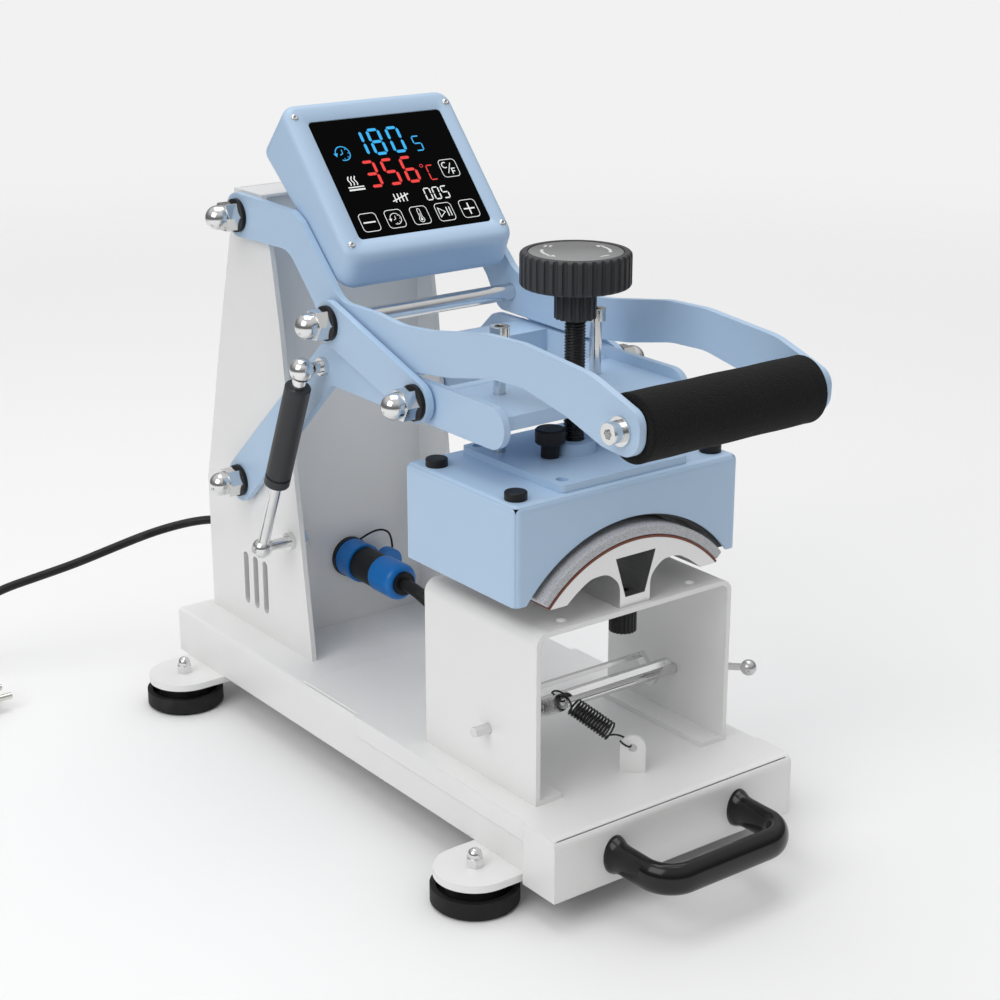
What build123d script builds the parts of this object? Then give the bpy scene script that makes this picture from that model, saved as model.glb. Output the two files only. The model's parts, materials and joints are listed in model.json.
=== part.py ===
from build123d import *
import math
import os

# Cap heat press: millimetres, +Z up, +X to the right seen from the front (the handle side, -Y).
# Origin: centre of the outline on the table.  Points of the side view are (Y, Z) pairs.

os.makedirs("parts", exist_ok=True)

# ---------------------------------------------------------------- fits and clearances
PIN_FIT = 0.05          # radial clearance of a pin, bolt or shaft in its bore
SIDE_PLAY = 0.2         # side play of a plate that turns beside a washer
SEAT_GAP = 0.3          # room between soft or loose pieces and what they lie on
SLIDE_PLAY = 0.5        # play of the slide bar in its runner
TRAY_PLAY = 0.8         # height of the tray above the channel that it slides over
LINK_GAP = 0.3          # room beside the open pivots of link and strut

# ---------------------------------------------------------------- pivots of the linkage (Y, Z)
PIVOT_LEVER = (185.7, 383.2)    # lever on the column
PIVOT_LINK = (57.6, 330.8)      # link on the lever
PIVOT_HEAD = (-43.8, 298.9)     # link on the swing frame
PIVOT_STRUT = (75.4, 295.9)     # strut on the swing frame
PIVOT_SWING = (199.2, 180.6)    # swing frame on the column
PIVOT_FOOT = (138.7, 148.1)     # strut on the column
PIVOT_GRIP = (-238.0, 326.0)    # grip between the lever plates

# ---------------------------------------------------------------- feet and base
FOOT_X = 116.5
FOOT_D = 58.0
FOOT_H = 19.7
FOOT_RIM_H = 13.0
FOOT_RIM_W = 4.0
FOOT_GROOVE_Z = 6.0
FOOT_BOSS_D = 40.0
FOOT_EDGE = 2.0
BAR_T = 5.0
BAR_W = 54.0
BAR_FRONT_Y = -152.0
BAR_REAR_Y = 227.0
CHANNEL_HALF = 96.8
CHANNEL_H = 34.8
CHANNEL_WALL = 2.0
CHANNEL_FRONT = -205.0
CHANNEL_REAR = 269.0
CHANNEL_BEND = 3.0
FOOT_BOLT_D = 6.0
FOOT_BOLT_Z = 8.0
FOOT_NUT_AF = 10.0
FOOT_NUT_HEX = 6.0
FOOT_NUT_H = 12.5
RUNNER_DEPTH = 11.0
RUNNER_WALL = 2.0
RUNNER_Z = 31.0
RUNNER_H = 16.0
RUNNER_FRONT = -172.0
RUNNER_REAR = 200.0
SLIDE_REAR = 40.0
SLIDE_W = 10.0

# ---------------------------------------------------------------- column
COLUMN_HALF = 69.0
COLUMN_PLATE = 4.0
COLUMN_SHEET = 2.0
COLUMN_FRONT = [(115.0, 0.0), (145.0, 246.5), (155.0, 305.5), (163.0, 340.5)]   # Z above the channel
COLUMN_BACK = [(201.0, 340.5), (233.0, 220.5), (253.0, 137.5), (261.0, 106.5), (261.0, 0.0)]
PANEL_Y = 166.0
ROOF_REAR = 198.3
COVER_PLAY = 0.3
VENT_Y = 193.5
VENT_Z = 98.0
VENT_W = 7.0
VENT_L = 42.0
VENT_STEP = 14.0
VENT_COUNT = 3
SWITCH_Z = 300.0
SWITCH_W = 15.0
SWITCH_H = 21.0
SWITCH_RIM = 2.0
SWITCH_PROUD = 3.0
ROCKER_DEEP = 9.0
ROCKER_TIP = 2.4
ROCKER_WAIST = 1.0
ROCKER_INSIDE = 4.0

# ---------------------------------------------------------------- side layers from the column outwards
WASHER_T = 2.0
ARM_T = 5.0
LINK_T = 5.0
OUTER_WASHER_T = 3.0
ARM_IN = COLUMN_HALF + WASHER_T
ARM_OUT = ARM_IN + ARM_T
LINK_IN = ARM_OUT + WASHER_T
LINK_OUT = LINK_IN + LINK_T
SHAFT_D = 12.0
WASHER_D = 25.0
OUTER_WASHER_D = 24.0
NUT_AF = 19.0
NUT_HEX = 10.0
NUT_H = 22.0
NUT_DOME = 17.6
NUT_BORE = 14.0

# ---------------------------------------------------------------- hand lever
LEVER_ROUND = 15.0
LEVER_OUTLINE = [       # the pivot that a corner goes with, its offset from it, its rounding
    (PIVOT_LEVER, 16.0, 16.0, LEVER_ROUND), (PIVOT_LEVER, 16.0, -16.0, LEVER_ROUND),
    (PIVOT_LEVER, -67.7, -13.7, 22.0), (PIVOT_LINK, 28.4, 7.2, 14.0), (PIVOT_LINK, 14.4, -15.2, 12.0),
    (PIVOT_LINK, -81.6, -16.8, 60.0), (PIVOT_LINK, -129.6, -10.8, 60.0), (PIVOT_GRIP, 123.0, 3.0, 60.0),
    (PIVOT_GRIP, 91.0, 4.5, 50.0), (PIVOT_GRIP, 50.0, -3.0, 50.0), (PIVOT_GRIP, 16.0, -13.5, 30.0),
    (PIVOT_GRIP, -16.0, -15.5, 14.0), (PIVOT_GRIP, -16.5, 12.0, 11.0), (PIVOT_GRIP, 28.0, 26.5, 50.0),
    (PIVOT_GRIP, 92.0, 31.5, 60.0), (PIVOT_GRIP, 128.0, 30.0, 60.0), (PIVOT_LINK, -108.6, 15.2, 60.0),
    (PIVOT_LINK, -76.6, 12.2, 60.0), (PIVOT_LINK, -45.6, 14.7, 60.0), (PIVOT_LINK, -5.6, 14.2, 22.0),
    (PIVOT_LEVER, -84.7, 8.8, 12.0), (PIVOT_LEVER, -73.7, 14.3, 10.0),
]
GRIP_D = 42.0
GRIP_PLAY = 2.0          # room between the grip and the lever plates
GRIP_HALF = ARM_IN - GRIP_PLAY
GRIP_CORE_D = 22.0
GRIP_BOLT_D = 8.0
GRIP_BOLT_IN = 24.0
GRIP_HEAD_D = 13.0
GRIP_HEAD_H = 8.0
GRIP_HEX = 6.0
GRIP_HEX_DEEP = 4.0
GRIP_WASHER_D = 18.0
GRIP_WASHER_T = 1.6

# ---------------------------------------------------------------- display
DISPLAY_PLAY = 1.0       # room between the display housing and the lever plates
DISPLAY_HALF = ARM_IN - DISPLAY_PLAY
FACE_TOP = (132.6, 467.2)
FACE_LOW = (48.7, 372.6)
BACK_LOW = (62.0, 348.6)
BACK_TOP = (163.5, 433.2)
DISPLAY_ROUND = 5.0
GLASS_HALF = 55.0
GLASS_UP = 46.0
GLASS_DOWN = 48.0
GLASS_T = 2.0
GLASS_PLAY = 0.2
GLASS_ROUND = 3.0
BRACKET_T = 3.0
BRACKET_FROM = 28.0
BRACKET_TO = 68.0

# ---------------------------------------------------------------- links and swing frame
LINK_R = 15.0
LINK_R_HEAD = 14.0
SWING_TOP = 312.0
SWING_H = 28.0
SWING_TIP = -129.0
SWING_CORNER = (72.0, 298.0)
SWING_EYE = 16.0
SHELF_FRONT = -123.0
SHELF_REAR = -53.0
SHELF_Z = 296.0
SHELF_T = 9.0
BEAM_FRONT = 15.0
BEAM_REAR = 47.0
BEAM_T = 3.0
BEAM_DROP = 14.0
BEAM_LIP = 3.0
RING_D = 22.0

# ---------------------------------------------------------------- struts
STRUT_OUT = 18.0         # strut axis beyond the swing arm
STRUT_X = ARM_OUT + STRUT_OUT
STUD_D = 8.0
STUD_COLLAR_D = 13.0
STUD_COLLAR_T = 4.0
STUD_TIP_D = 5.5
STUD_NUT_AF = 13.0
STUD_NUT_T = 6.5
RIVET_T = 1.4
RIVET_D = 14.0
STRUT_EYE_UP = 8.5
STRUT_EYE_DOWN = 7.5
STRUT_TUBE_D = 18.5
STRUT_NECK_D = 10.0
STRUT_TUBE_FROM = 14.0
STRUT_TUBE_TO = 100.0
STRUT_BORE_FROM = 18.0
STRUT_GROOVE = 91.0
STRUT_GROOVE_W = 2.0
STRUT_GROOVE_T = 0.8
STRUT_ROD_D = 8.5
STRUT_ROD_TOP = 24.0

# ---------------------------------------------------------------- head
HEAD_HALF = 92.0
HEAD_FRONT = -161.0
HEAD_REAR = -43.0
HEAD_Z = 196.0
HEAD_TOP = 261.0
HEAD_WALL = 1.5
HEAD_ROUND = 5.0
HEATER_T = 12.0
HEATER_HALF = 88.0
HEATER_INSET = 3.0
HEATER_LOW = 0.8
CAP_X = 80.0
CAP_FRONT = -146.0
CAP_REAR = -63.0
CAP_D = 14.5
CAP_H = 5.2
CAP_HOLLOW_D = 12.0
CAP_HOLLOW_H = 3.6
BOSS_D = 11.0
PLATE_HALF = 52.0
PLATE_FRONT = -156.0
PLATE_REAR = -51.0
PLATE_T = 5.0
PLATE_ROUND = 4.0
PLATE_HOLE_X = 43.0
PLATE_HOLE_FRONT = -145.0
PLATE_HOLE_REAR = -58.0
PLATE_HOLE_D = 8.0
GUIDE_X = 39.5
GUIDE_Y = -76.0
GUIDE_D = 8.0
GUIDE_TOP = 349.0
GUIDE_HEAD_D = 13.0
GUIDE_HEAD_H = 8.0
GUIDE_FIT = 0.1
SCREW_Y = -103.0
SCREW_D = 14.0
FLANGE_D = 29.0
FLANGE_H = 8.0
FLANGE_BORE_DEEP = 6.0
HUB_D = 27.0
HUB_Z = 354.0
KNOB_Z = 374.6
KNOB_TOP = 396.8
KNOB_D = 71.0
KNOB_DISC_D = 61.0
KNOB_DISC_DEEP = 1.2
KNOB_RIBS = 36
KNOB_RIB_D = 3.4
HUB_FLUTES = 16
HUB_FLUTE_D = 3.0
KNOB_EDGE = 2.5
THUMB_X = -21.0
THUMB_Y = -105.0
THUMB_STEM_D = 12.0
THUMB_STEM_H = 9.0
THUMB_HEAD_D = 19.6
THUMB_HEAD_H = 10.0
THUMB_SCREW_D = 6.0
THUMB_EDGE = 1.0

# ---------------------------------------------------------------- lower platen on its bridge
BRIDGE_HALF = 81.4
BRIDGE_SHEET = 3.5
BRIDGE_FRONT = -169.5
BRIDGE_REAR = -49.5
BRIDGE_TOP = 179.0
BRIDGE_BEND = 9.0
BRIDGE_FOOT = 18.0
BRIDGE_HOLE_X = 54.0
BRIDGE_HOLE_Y = -159.0
BRIDGE_HOLE_D = 7.0
PLATEN_FRONT = -166.5
PLATEN_REAR = -56.5
PLATEN_TOP = 222.6
PLATEN_R = 92.6
PLATEN_WALL = 9.6
PLATEN_Z = PLATEN_TOP - PLATEN_R
PLATEN_R_IN = PLATEN_R - PLATEN_WALL
ARCH_RISE = 1.0          # centre of the head's arch over the platen's
HEATER_ROOM = 10.9       # room for sheet, foam and workpiece between the two arches
COVER_ROOM = 2.0         # room between the cover's edge and the heater's face
ARCH_Z = PLATEN_Z + ARCH_RISE
HEATER_R = PLATEN_R + HEATER_ROOM
COVER_ARCH_R = HEATER_R + COVER_ROOM
PLATEN_TIP_Z = 191.8
STEM_HALF = 12.5
STEM_FLARE = [(12.5, 190.0), (17.0, 200.0), (24.0, 204.5), (32.0, 204.9)]
FLARE_RUN = 8.0          # from the flare's last point to the arch
HOLLOW = [(8.0, 186.0), (16.5, 213.5), (-16.5, 213.5), (-8.0, 186.0)]
SHEET_T = 1.5
FOAM_T = 4.9             # pressed thin, as under the closed head
PAD_PLAY = 0.05
CLAMP_Y = -155.0
CLAMP_D = 18.0
CLAMP_H = 17.0
CLAMP_STUD_D = 8.0
CLAMP_STUD_IN = 6.5
CLAMP_KNURLS = 20
CLAMP_KNURL_D = 1.6

# ---------------------------------------------------------------- drawer
TRAY_T = 1.6
TRAY_PLATE_T = 1.9
TRAY_SIDE_PLAY = 0.4
TRAY_FLANGE = 14.5
TRAY_REAR = 13.0
TONGUE_HALF = 94.5
TONGUE_REAR = 86.0
APRON_FRONT = -213.0
APRON_DEPTH = 32.0
APRON_LOW = 19.0
APRON_ROUND = 6.5
HANDLE_X = 49.0
HANDLE_Z = 38.0
HANDLE_REACH = 56.0
HANDLE_T = 12.0
HANDLE_H = 20.0
HANDLE_ROUND = 26.0
HANDLE_EDGE = 3.5
POST_W = 17.0
POST_T = 3.0
POST_H = 26.0
POST_Y = -168.0
POST_HOLE_D = 5.5

# ---------------------------------------------------------------- stretcher frame
BAIL_Y = -119.5
BAIL_Z = 98.0
BAIL_ROD_D = 7.0
BAIL_ROD_LEFT = -93.0
BAIL_ROD_RIGHT = 94.0
BAIL_HALF = 57.5
BAIL_END_T = 3.5
BAIL_EYE = 6.5
BAIL_FRONT = (-135.0, 113.8)
BAIL_REAR = (-110.6, 111.0)
BAIL_BAR_T = 3.5
BAIL_BAR_H = 4.6
BAIL_REAR_T = 3.0
LUG_FROM = -50.0
LUG_TO = -29.5
LUG_DROP = 8.6
LUG_ROUND = 4.0
LUG_HOLE_D = 5.5
HOOK_X = -36.0
BALL_AT = (100.0, -169.7, 110.0)
BALL_D = 11.0
STEM_D = 5.0
STEM_X = 90.0
STEM_HUB_D = 9.0
STEM_HUB_T = 7.0

# ---------------------------------------------------------------- extension spring
WIRE_D = 1.3
SPRING_D = 13.0
SPRING_TURNS = 14
SPRING_PITCH = 2.25
LOOP_R = 5.0
LOOP_OPEN_LOW = 150.0     # where the lower loop starts, degrees
LOOP_SHUT_HIGH = 245.0    # where the upper loop ends, degrees
HOOK_GAP = 0.4
HOOK_RISE = 1.8          # top of the upper hook over the bar that it hangs on

# ---------------------------------------------------------------- power connector on the column
SOCKET_X = -2.0
SOCKET_Z = 113.0
SOCKET_FLANGE_D = 31.0
SOCKET_FLANGE_T = 4.0
SOCKET_RING_D = 30.0
SOCKET_RING_L = 17.0
PLUG_D = 26.5
PLUG_L = 26.0
PLUG_CORE_D = 17.6
COLLAR_D = 28.0
COLLAR_L = 26.0
COLLAR_ROUND = 9.0
PLUG_NOSE = 3.0
CORE_PLAY = 0.1
HEATER_LEAD_D = 9.5
HEATER_LEAD = [
    (-2.0, 77.0, 113.0), (0.0, 62.3, 107.0), (5.9, 48.8, 98.5), (12.6, 33.4, 96.1), (19.1, 18.6, 101.4),
    (24.0, 8.0, 113.2), (26.5, 3.2, 130.1), (28.0, 3.5, 156.0), (30.0, 5.5, 181.0), (30.0, 6.5, 205.0),
    (30.0, -1.7, 220.5), (30.0, -16.7, 229.5), (30.0, -34.0, 229.5),
]
GLAND_D = 17.0
GLAND_L = 9.0
DUST_CAP_AT = (24.0, 151.0, 108.0)
DUST_CAP_D = 20.0
DUST_CAP_L = 8.0
DUST_CAP_WALL = 1.6
TETHER_D = 1.6
TETHER = [
    (2.0, 156.0, 128.6), (10.0, 152.5, 134.2), (20.5, 151.0, 134.4), (27.5, 151.0, 128.0), (28.0, 151.0, 117.8),
]

# ---------------------------------------------------------------- mains lead
MAINS_D = 7.0
MAINS_X = -22.0
MAINS_Z = 104.0
RELIEF_L = 34.0
RELIEF_D = 15.0
RELIEF_TIP_D = 9.5
RELIEF_FLANGE_D = 20.0
RELIEF_FLANGE_T = 3.0
RELIEF_RINGS = 4
RELIEF_RING_W = 2.0
RELIEF_RING_DEEP = 0.9
MAINS_ROUTE = [
    (-22.0, 311.0, 104.0), (-28.4, 326.5, 103.0), (-40.4, 338.0, 100.8), (-57.0, 347.0, 97.3),
    (-78.0, 353.5, 92.8), (-104.0, 361.0, 85.0), (-136.0, 368.5, 75.8), (-166.0, 376.0, 69.0),
    (-197.0, 384.0, 62.0), (-228.0, 390.5, 48.5), (-257.0, 394.5, 29.0), (-284.0, 395.8, 12.5),
    (-311.0, 396.0, 3.8),
]
COIL_X = -350.0
COIL_Y = 396.0
COIL_R = 46.0
COIL_STEP = 7.7
COIL_TURNS_IN = 3
COIL_LEAD = 12.0
COIL_TAIL = 62.0
FLOOR_GAP = 0.3
PLUG_LEN = 38.0
PLUG_WIDE = 26.0
PLUG_HIGH = 22.0
PLUG_TAPER = 12.0
PIN_D = 4.8
PIN_L = 19.0
PIN_SPAN = 19.0

# ---------------------------------------------------------------- derived places
CHANNEL_Z = FOOT_H + BAR_T
CHANNEL_TOP = CHANNEL_Z + CHANNEL_H
TRAY_UNDER = CHANNEL_TOP + TRAY_PLAY
TRAY_TOP = TRAY_UNDER + TRAY_T
TRAY_HALF = CHANNEL_HALF + TRAY_SIDE_PLAY + TRAY_T
APRON_HALF = TRAY_HALF + TRAY_PLATE_T
PLATE_Z = HEAD_TOP + PLATE_T
SHELF_TOP = SHELF_Z + SHELF_T
EPS = 1.0               # how far a cutting body runs past the face that it cuts


# ---------------------------------------------------------------- helpers
def block(x0, x1, y0, y1, z0, z1):
    """Box between two opposite corners."""
    middle = Pos((x0 + x1) / 2, (y0 + y1) / 2, (z0 + z1) / 2)
    return middle * Box(x1 - x0, y1 - y0, z1 - z0)


def rod_x(x0, x1, at, d):
    """Round bar along X at the side-view point."""
    return Pos((x0 + x1) / 2, at[0], at[1]) * Rot(0, 90, 0) * Cylinder(d / 2, abs(x1 - x0))


def rod_y(y0, y1, x, z, d):
    """Round bar along Y."""
    return Pos(x, (y0 + y1) / 2, z) * Rot(90, 0, 0) * Cylinder(d / 2, abs(y1 - y0))


def rod_z(z0, z1, x, y, d):
    """Round bar along Z."""
    return Pos(x, y, (z0 + z1) / 2) * Cylinder(d / 2, z1 - z0)


def side_plate(points, x0, x1):
    """Polygon of side-view points, given its thickness from x0 to x1."""
    face = make_face(Polyline(*points, close=True))
    return extrude(Plane.YZ.offset(x0) * face, amount=x1 - x0)


def front_plate(points, y0, y1):
    """Polygon of front-view points (X, Z), given its depth from y0 to y1."""
    face = make_face(Polyline(*points, close=True))
    return extrude(Plane.XZ.offset(-y1) * face, amount=y1 - y0)


def eye(at, r, x0, x1):
    """Round end of a flat bar."""
    return rod_x(x0, x1, at, r + r)


def strap(a, ra, b, rb, x0, x1):
    """Flat bar with round ends of two radii."""
    reach = math.hypot(b[0] - a[0], b[1] - a[1])
    uy = (b[0] - a[0]) / reach
    uz = (b[1] - a[1]) / reach
    lean = (ra - rb) / reach
    rise = math.sqrt(1 - lean * lean)
    upper = (uy * lean - uz * rise, uz * lean + uy * rise)
    lower = (uy * lean + uz * rise, uz * lean - uy * rise)
    corners = [
        (a[0] + upper[0] * ra, a[1] + upper[1] * ra), (b[0] + upper[0] * rb, b[1] + upper[1] * rb),
        (b[0] + lower[0] * rb, b[1] + lower[1] * rb), (a[0] + lower[0] * ra, a[1] + lower[1] * ra),
    ]
    return side_plate(corners, x0, x1) + eye(a, ra, x0, x1) + eye(b, rb, x0, x1)


def hex_x(x0, x1, at, across_flats):
    """Hexagon bar along X."""
    face = Plane.YZ.offset(x0) * Pos(at[0], at[1]) * RegularPolygon(across_flats / 2, 6, major_radius=False)
    return extrude(face, amount=x1 - x0)


def cap_nut_x(x0, at):
    """Domed nut whose hexagon starts at x0 and whose dome points to +X."""
    nut = hex_x(x0, x0 + NUT_HEX, at, NUT_AF)
    nut += rod_x(x0, x0 + NUT_H - NUT_DOME / 2, at, NUT_DOME)
    nut += Pos(x0 + NUT_H - NUT_DOME / 2, at[0], at[1]) * Sphere(NUT_DOME / 2)
    return nut


def right_and_left(*pieces):
    """The right-hand pieces with their mirror images."""
    return [p for p in pieces] + [mirror(p, Plane.YZ) for p in pieces]


def save(name, *pieces):
    """Write one node of separate solids."""
    solids = [s for p in pieces for s in p.solids()]
    node = solids[0] if len(solids) == 1 else Compound(children=solids)
    node.label = name
    export_step(node, f"parts/{name}.step")


def biarc(p0, t0, p1, t1):
    """Two arcs from p0 along t0 to p1 along t1, joined smoothly."""
    v = p1 - p0
    s = t0 + t1
    blunt = 2 * (1 - t0.dot(t1))
    ahead = v.dot(s)
    reach = (math.sqrt(ahead * ahead + blunt * v.dot(v)) - ahead) / blunt
    q0 = p0 + t0 * reach
    q1 = p1 - t1 * reach
    middle = (q0 + q1) * 0.5
    first = TangentArc(p0, middle, tangent=t0)
    second = TangentArc(middle, p1, tangent=(q1 - q0).normalized())
    return [first, second]


def tube(edges, d):
    """One unbroken round tube along joined edges."""
    path = Wire(edges)
    section = Plane(origin=path @ 0, z_dir=path % 0) * Circle(d / 2)
    return sweep(section, path=path)


def least_gap(edges, d, steps=24):
    """Least distance between turns of a tube, measured on points of its centre line."""
    points = []
    run = 0.0
    for edge in edges:
        for k in range(steps):
            here = edge @ (k / steps)
            if points:
                run += (here - points[-1][1]).length
            points.append((run, here))
    least = math.inf
    for i, (at, p) in enumerate(points):
        for far, q in points[i + 1:]:
            if far - at > math.pi * d:
                least = min(least, (p - q).length)
    return least - d


def soft_route(name, points, d):
    """Tube of straight runs joined by tangent arcs as large as the runs allow."""
    spots = [Vector(*p) for p in points]
    radii = []
    for a, b, c in zip(spots, spots[1:], spots[2:]):
        turn = math.radians((b - a).get_angle(c - b))
        radii.append(0.45 * min((b - a).length, (c - b).length) / math.tan(turn / 2))
    path = FilletPolyline(*spots, radius=radii)
    wire = Wire(path.edges())
    solid = tube(path.edges(), d)
    section = math.pi * d * d / 4
    print(name, "radii", [round(r) for r in radii], "length", round(wire.length),
          "volume ratio", round(solid.volume / (section * wire.length), 4))
    return solid


# ================================================================ stand
channel = block(-CHANNEL_HALF, CHANNEL_HALF, CHANNEL_FRONT, CHANNEL_REAR, CHANNEL_Z, CHANNEL_TOP)
channel = fillet(channel.edges().filter_by(Axis.Y).group_by(Axis.Z)[-1], CHANNEL_BEND)
inner_half = CHANNEL_HALF - CHANNEL_WALL
hollow = block(-inner_half, inner_half, CHANNEL_FRONT - EPS, CHANNEL_REAR + EPS,
               CHANNEL_Z - EPS, CHANNEL_TOP - CHANNEL_WALL)
channel -= hollow
for bar_y in (BAR_FRONT_Y, BAR_REAR_Y):
    bar = block(-FOOT_X, FOOT_X, bar_y - BAR_W / 2, bar_y + BAR_W / 2, FOOT_H, CHANNEL_Z)
    for foot_x in (-FOOT_X, FOOT_X):
        bar += rod_z(FOOT_H, CHANNEL_Z, foot_x, bar_y, BAR_W)
    channel += bar
    for foot_x in (-FOOT_X, FOOT_X):
        channel -= rod_z(FOOT_H - EPS, CHANNEL_Z + EPS, foot_x, bar_y, FOOT_BOLT_D + 2 * PIN_FIT)
save("base_frame", channel)

foot_outline = [
    (0, 0), (FOOT_D / 2 - FOOT_EDGE, 0), (FOOT_D / 2, FOOT_EDGE), (FOOT_D / 2, FOOT_RIM_H),
    (FOOT_D / 2 - FOOT_RIM_W, FOOT_RIM_H), (FOOT_D / 2 - FOOT_RIM_W, FOOT_GROOVE_Z),
    (FOOT_BOSS_D / 2, FOOT_GROOVE_Z), (FOOT_BOSS_D / 2, FOOT_H), (0, FOOT_H),
]
foot = revolve(Plane.XZ * make_face(Polyline(*foot_outline, close=True)), Axis.Z)
foot -= rod_z(FOOT_BOLT_Z - PIN_FIT, FOOT_H + EPS, 0, 0, FOOT_BOLT_D + 2 * PIN_FIT)
foot_bolt = rod_z(FOOT_BOLT_Z, CHANNEL_Z + EPS, 0, 0, FOOT_BOLT_D)
foot_hexagon = Plane.XY.offset(CHANNEL_Z) * RegularPolygon(FOOT_NUT_AF / 2, 6, major_radius=False)
foot_bolt += extrude(foot_hexagon, amount=FOOT_NUT_HEX)
foot_dome = FOOT_NUT_AF / 2 - SEAT_GAP
foot_bolt += rod_z(CHANNEL_Z, CHANNEL_Z + FOOT_NUT_H - foot_dome, 0, 0, 2 * foot_dome)
foot_bolt += Pos(0, 0, CHANNEL_Z + FOOT_NUT_H - foot_dome) * Sphere(foot_dome)
foot_places = [Pos(x, y, 0) for x in (-FOOT_X, FOOT_X) for y in (BAR_FRONT_Y, BAR_REAR_Y)]
save("rubber_feet", *[place * foot for place in foot_places])
save("foot_bolts", *[place * foot_bolt for place in foot_places])

runner_out = inner_half
runner_in = runner_out - RUNNER_DEPTH
runner = block(runner_in, runner_out, RUNNER_FRONT, RUNNER_REAR, RUNNER_Z, RUNNER_Z + RUNNER_H)
runner -= block(runner_in - EPS, runner_out - RUNNER_WALL, RUNNER_FRONT - EPS, RUNNER_REAR + EPS,
                RUNNER_Z + RUNNER_WALL, RUNNER_Z + RUNNER_H - RUNNER_WALL)
save("drawer_runners", *right_and_left(runner))

# ---------------------------------------------------------------- column with its set-back panel
column_side = [(y, CHANNEL_TOP + z) for y, z in COLUMN_FRONT + COLUMN_BACK]
column_top = column_side[len(COLUMN_FRONT)][1]
column = side_plate(column_side, -COLUMN_HALF, COLUMN_HALF)
between = COLUMN_HALF - COLUMN_PLATE
roof_z = column_top - COLUMN_SHEET
panel_back = PANEL_Y + COLUMN_SHEET
column -= side_plate([
    (panel_back, CHANNEL_TOP - EPS), (panel_back, roof_z), (ROOF_REAR, roof_z), (ROOF_REAR, column_top + EPS),
    (CHANNEL_REAR, column_top + EPS), (CHANNEL_REAR, CHANNEL_TOP - EPS)], -between, between)
column -= block(-between, between, 0, PANEL_Y, CHANNEL_TOP - EPS, roof_z)
for pivot in (PIVOT_LEVER, PIVOT_SWING):
    column -= rod_x(-COLUMN_HALF - EPS, COLUMN_HALF + EPS, pivot, SHAFT_D + 2 * PIN_FIT)
column -= rod_x(-COLUMN_HALF - EPS, COLUMN_HALF + EPS, PIVOT_FOOT, STUD_D + 2 * PIN_FIT)
for k in range(VENT_COUNT):
    vent_y = VENT_Y + (k - (VENT_COUNT - 1) / 2) * VENT_STEP
    reach = (VENT_L - VENT_W) / 2
    vent = block(-COLUMN_HALF - EPS, COLUMN_HALF + EPS, vent_y - VENT_W / 2, vent_y + VENT_W / 2,
                 VENT_Z - reach, VENT_Z + reach)
    vent += rod_x(-COLUMN_HALF - EPS, COLUMN_HALF + EPS, (vent_y, VENT_Z - reach), VENT_W)
    vent += rod_x(-COLUMN_HALF - EPS, COLUMN_HALF + EPS, (vent_y, VENT_Z + reach), VENT_W)
    column -= vent
save("column_shell", column)

cover_line = [(y, CHANNEL_TOP + z) for y, z in COLUMN_BACK]
cover_inside = [(y - COLUMN_SHEET, z) for y, z in reversed(cover_line)]
cover_half = between - COVER_PLAY
back_cover = side_plate(cover_line + cover_inside, -cover_half, cover_half)


def back_line(z):
    """Depth of the column's back at a height."""
    for (ya, za), (yb, zb) in zip(cover_line, cover_line[1:]):
        if zb <= z <= za:
            return yb + (ya - yb) * (z - zb) / (za - zb)
    return cover_line[-1][0]


back_slope = math.atan2(cover_line[1][0] - cover_line[0][0], cover_line[0][1] - cover_line[1][1])
switch_place = Pos(0, back_line(SWITCH_Z), SWITCH_Z) * Rot(math.degrees(back_slope), 0, 0)
rim_w = SWITCH_W + 2 * SWITCH_RIM
rim_h = SWITCH_H + 2 * SWITCH_RIM
rim = Pos(0, (SWITCH_PROUD - COLUMN_SHEET) / 2, 0) * Box(rim_w, SWITCH_PROUD + COLUMN_SHEET, rim_h)
back_cover += switch_place * rim
back_cover -= switch_place * Box(SWITCH_W, ROCKER_DEEP + SWITCH_PROUD + rim_w, SWITCH_H)
relief_y = back_line(MAINS_Z)
back_cover -= rod_y(relief_y - ROCKER_DEEP, relief_y + EPS + EPS, MAINS_X, MAINS_Z, RELIEF_D + 2 * PIN_FIT)
save("column_back_cover", back_cover)

rocker_r = SWITCH_H / 2 - SEAT_GAP
rocker_side = [
    (-ROCKER_INSIDE, -rocker_r), (-ROCKER_INSIDE, rocker_r), (SWITCH_PROUD + ROCKER_TIP, rocker_r),
    (SWITCH_PROUD + ROCKER_WAIST, 0), (SWITCH_PROUD + SEAT_GAP, -rocker_r),
]
rocker_half = SWITCH_W / 2 - SEAT_GAP
rocker = side_plate(rocker_side, -rocker_half, rocker_half)
rocker = rocker & rod_x(-SWITCH_W, SWITCH_W, (0, 0), 2 * rocker_r)
save("switch_rocker", switch_place * rocker)

# ---------------------------------------------------------------- shafts, washers and domed nuts
nut_x = ARM_OUT + OUTER_WASHER_T
shafts = []
washers = []
nuts = []
for pivot in (PIVOT_LEVER, PIVOT_SWING):
    shaft_end = nut_x + NUT_BORE - PIN_FIT
    shafts.append(rod_x(-shaft_end, shaft_end, pivot, SHAFT_D))
    bore = rod_x(0, nut_x + NUT_BORE, pivot, SHAFT_D + 2 * PIN_FIT)
    washers += right_and_left(
        rod_x(COLUMN_HALF, ARM_IN - SIDE_PLAY, pivot, WASHER_D) - bore,
        rod_x(ARM_OUT + SIDE_PLAY, nut_x, pivot, OUTER_WASHER_D) - bore)
    nuts += right_and_left(cap_nut_x(nut_x, pivot) - bore)
save("pivot_shafts", *shafts)
save("pivot_washers", *washers)
save("pivot_cap_nuts", *nuts)

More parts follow.
